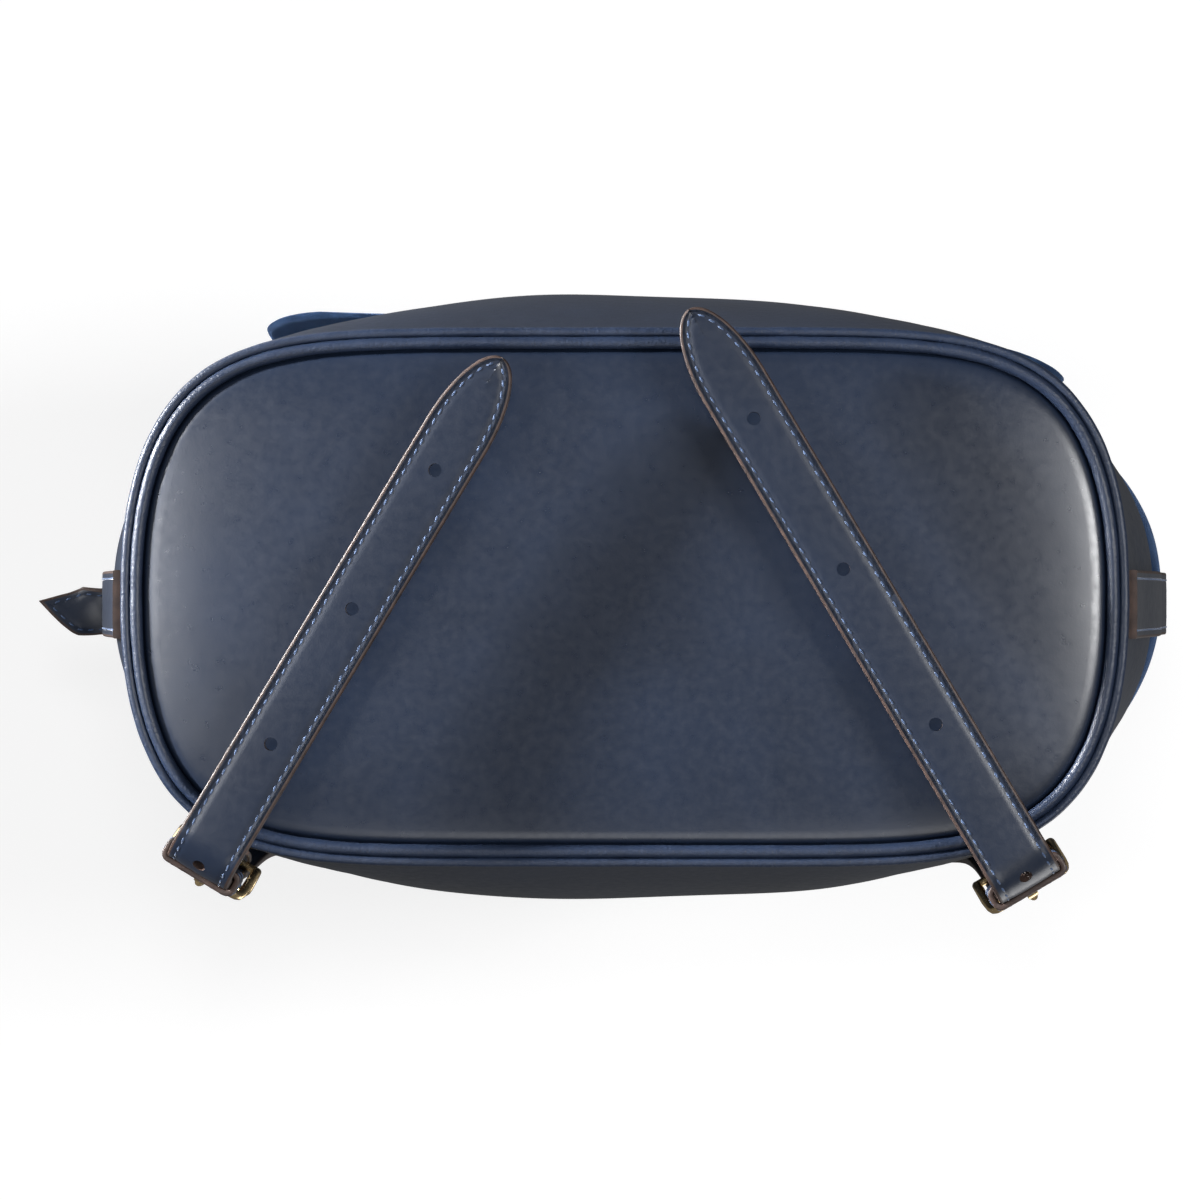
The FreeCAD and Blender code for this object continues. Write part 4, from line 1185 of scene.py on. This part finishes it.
# ------------------------------------------------------------------ stage, camera, light
def stage_plane(name, z, half, white, facing_down, glow=0.0, hole=None):
    me = bpy.data.meshes.new(name)
    v = [(-half, -half, z), (half, -half, z), (half, half, z), (-half, half, z)]
    faces = [(0, 1, 2, 3)]
    if hole:
        x0, x1, y0, y1 = hole
        v += [(x0, y0, z), (x1, y0, z), (x1, y1, z), (x0, y1, z)]
        faces = [(0, 1, 5, 4), (1, 2, 6, 5), (2, 3, 7, 6), (3, 0, 4, 7)]
    me.from_pydata(v, [], [tuple(reversed(f)) if facing_down else f for f in faces])
    ob = bpy.data.objects.new(name, me)
    bpy.context.scene.collection.objects.link(ob)
    mt = bpy.data.materials.new("stage_" + name)
    mt.use_nodes = True
    t = mt.node_tree
    p = t.nodes["Principled BSDF"]
    p.inputs["Base Color"].default_value = (white, white, white, 1)
    p.inputs["Roughness"].default_value = 0.9
    p.inputs["Specular IOR Level"].default_value = 0.0
    p.inputs["Emission Color"].default_value = (1, 1, 1, 1)
    p.inputs["Emission Strength"].default_value = glow
    geo = t.nodes.new("ShaderNodeNewGeometry")
    tr = t.nodes.new("ShaderNodeBsdfTransparent")
    mix = t.nodes.new("ShaderNodeMixShader")
    t.links.new(geo.outputs["Backfacing"], mix.inputs["Fac"])
    t.links.new(p.outputs[0], mix.inputs[1])
    t.links.new(tr.outputs[0], mix.inputs[2])
    t.links.new(mix.outputs[0], t.nodes["Material Output"].inputs["Surface"])
    me.materials.append(mt)
    ob.visible_shadow = False
    ob.visible_diffuse = False
    ob.visible_glossy = False
    ob.visible_transmission = False
    return ob


floor = stage_plane("floor", 0.0, 6.0, 0.86, False, 0.3)
backdrop = stage_plane("backdrop", 0.36, 0.46, 0.35, True, 0.74, (-0.141, 0.144, -0.073, 0.071))

world = bpy.data.worlds.new("world")
bpy.context.scene.world = world
world.use_nodes = True
wt = world.node_tree
bg = wt.nodes["Background"]
lp = wt.nodes.new("ShaderNodeLightPath")
bg2 = wt.nodes.new("ShaderNodeBackground")
mix = wt.nodes.new("ShaderNodeMixShader")
bg.inputs["Color"].default_value = (1, 1, 1, 1); bg.inputs["Strength"].default_value = 0.14
bg2.inputs["Color"].default_value = (1, 1, 1, 1); bg2.inputs["Strength"].default_value = 1.0
wt.links.new(lp.outputs["Is Camera Ray"], mix.inputs["Fac"])
wt.links.new(bg.outputs[0], mix.inputs[1]); wt.links.new(bg2.outputs[0], mix.inputs[2])
wt.links.new(mix.outputs[0], wt.nodes["World Output"].inputs["Surface"])


def area(name, loc, target, size, power, color=(1, 1, 1), size_y=None):
    ld = bpy.data.lights.new(name, "AREA")
    ld.energy = power; ld.color = color; ld.size = size
    if size_y:
        ld.shape = "RECTANGLE"; ld.size_y = size_y
    ob = bpy.data.objects.new(name, ld)
    bpy.context.scene.collection.objects.link(ob)
    ob.location = loc
    ob.rotation_euler = (Vector(target) - Vector(loc)).to_track_quat("-Z", "Y").to_euler()
    return ob


# below: softboxes beyond both ends, a grazing light from the left, weak ones from the back and front
area("soft_left", (-0.80, -0.05, -1.12), (-0.1, 0, 0.02), 0.26, 5.0, size_y=0.6)
area("soft_right", (0.90, -0.10, -1.12), (0.12, 0, 0.02), 0.26, 14.0, size_y=0.6)
g_ = area("graze_left", (-1.1, -0.38, -0.26), (0, 0, 0.016), 0.10, 1.35)
g_.data.spread = math.radians(24)
area("soft_back", (0.1, 0.85, -0.9), (0, 0.05, 0.05), 0.6, 2.2)
k_ = area("soft_key", (0.02, -0.17, -1.30), (0, 0, 0.1), 0.14, 3.6)
k_.visible_glossy = False
# above: for the sides and the top
area("soft_top", (-1.3, -1.6, 0.95), (0, 0, 0.15), 1.5, 20.0)
area("soft_top_back", (1.4, 1.6, 1.05), (0, 0, 0.15), 1.5, 18.0)

cam_data = bpy.data.cameras.new("camera")
cam = bpy.data.objects.new("camera", cam_data)
bpy.context.scene.collection.objects.link(cam)
cam_data.sensor_width = 36.0
DIST = 1.300
cam_data.lens = 3.63 * 1300 / 1200 * 36.0
eye = Vector(((28.0 + DX) * MM, DY * MM, (17.0 - 1300.0) * MM))
aim = Vector(((-6.4 + DX) * MM, (0.8 + DY) * MM, 17.0 * MM))
fwd = (aim - eye).normalized()
right = fwd.cross(Vector((0, -1, 0))).normalized()
upv = right.cross(fwd)
rot = Matrix((right, upv, -fwd)).transposed()
cam.matrix_world = Matrix.Translation(eye) @ rot.to_4x4()
cam_data.clip_start, cam_data.clip_end = 0.05, 20.0
bpy.context.scene.camera = cam
bpy.context.scene.view_settings.view_transform = "Standard"
bpy.context.scene.view_settings.look = "None"
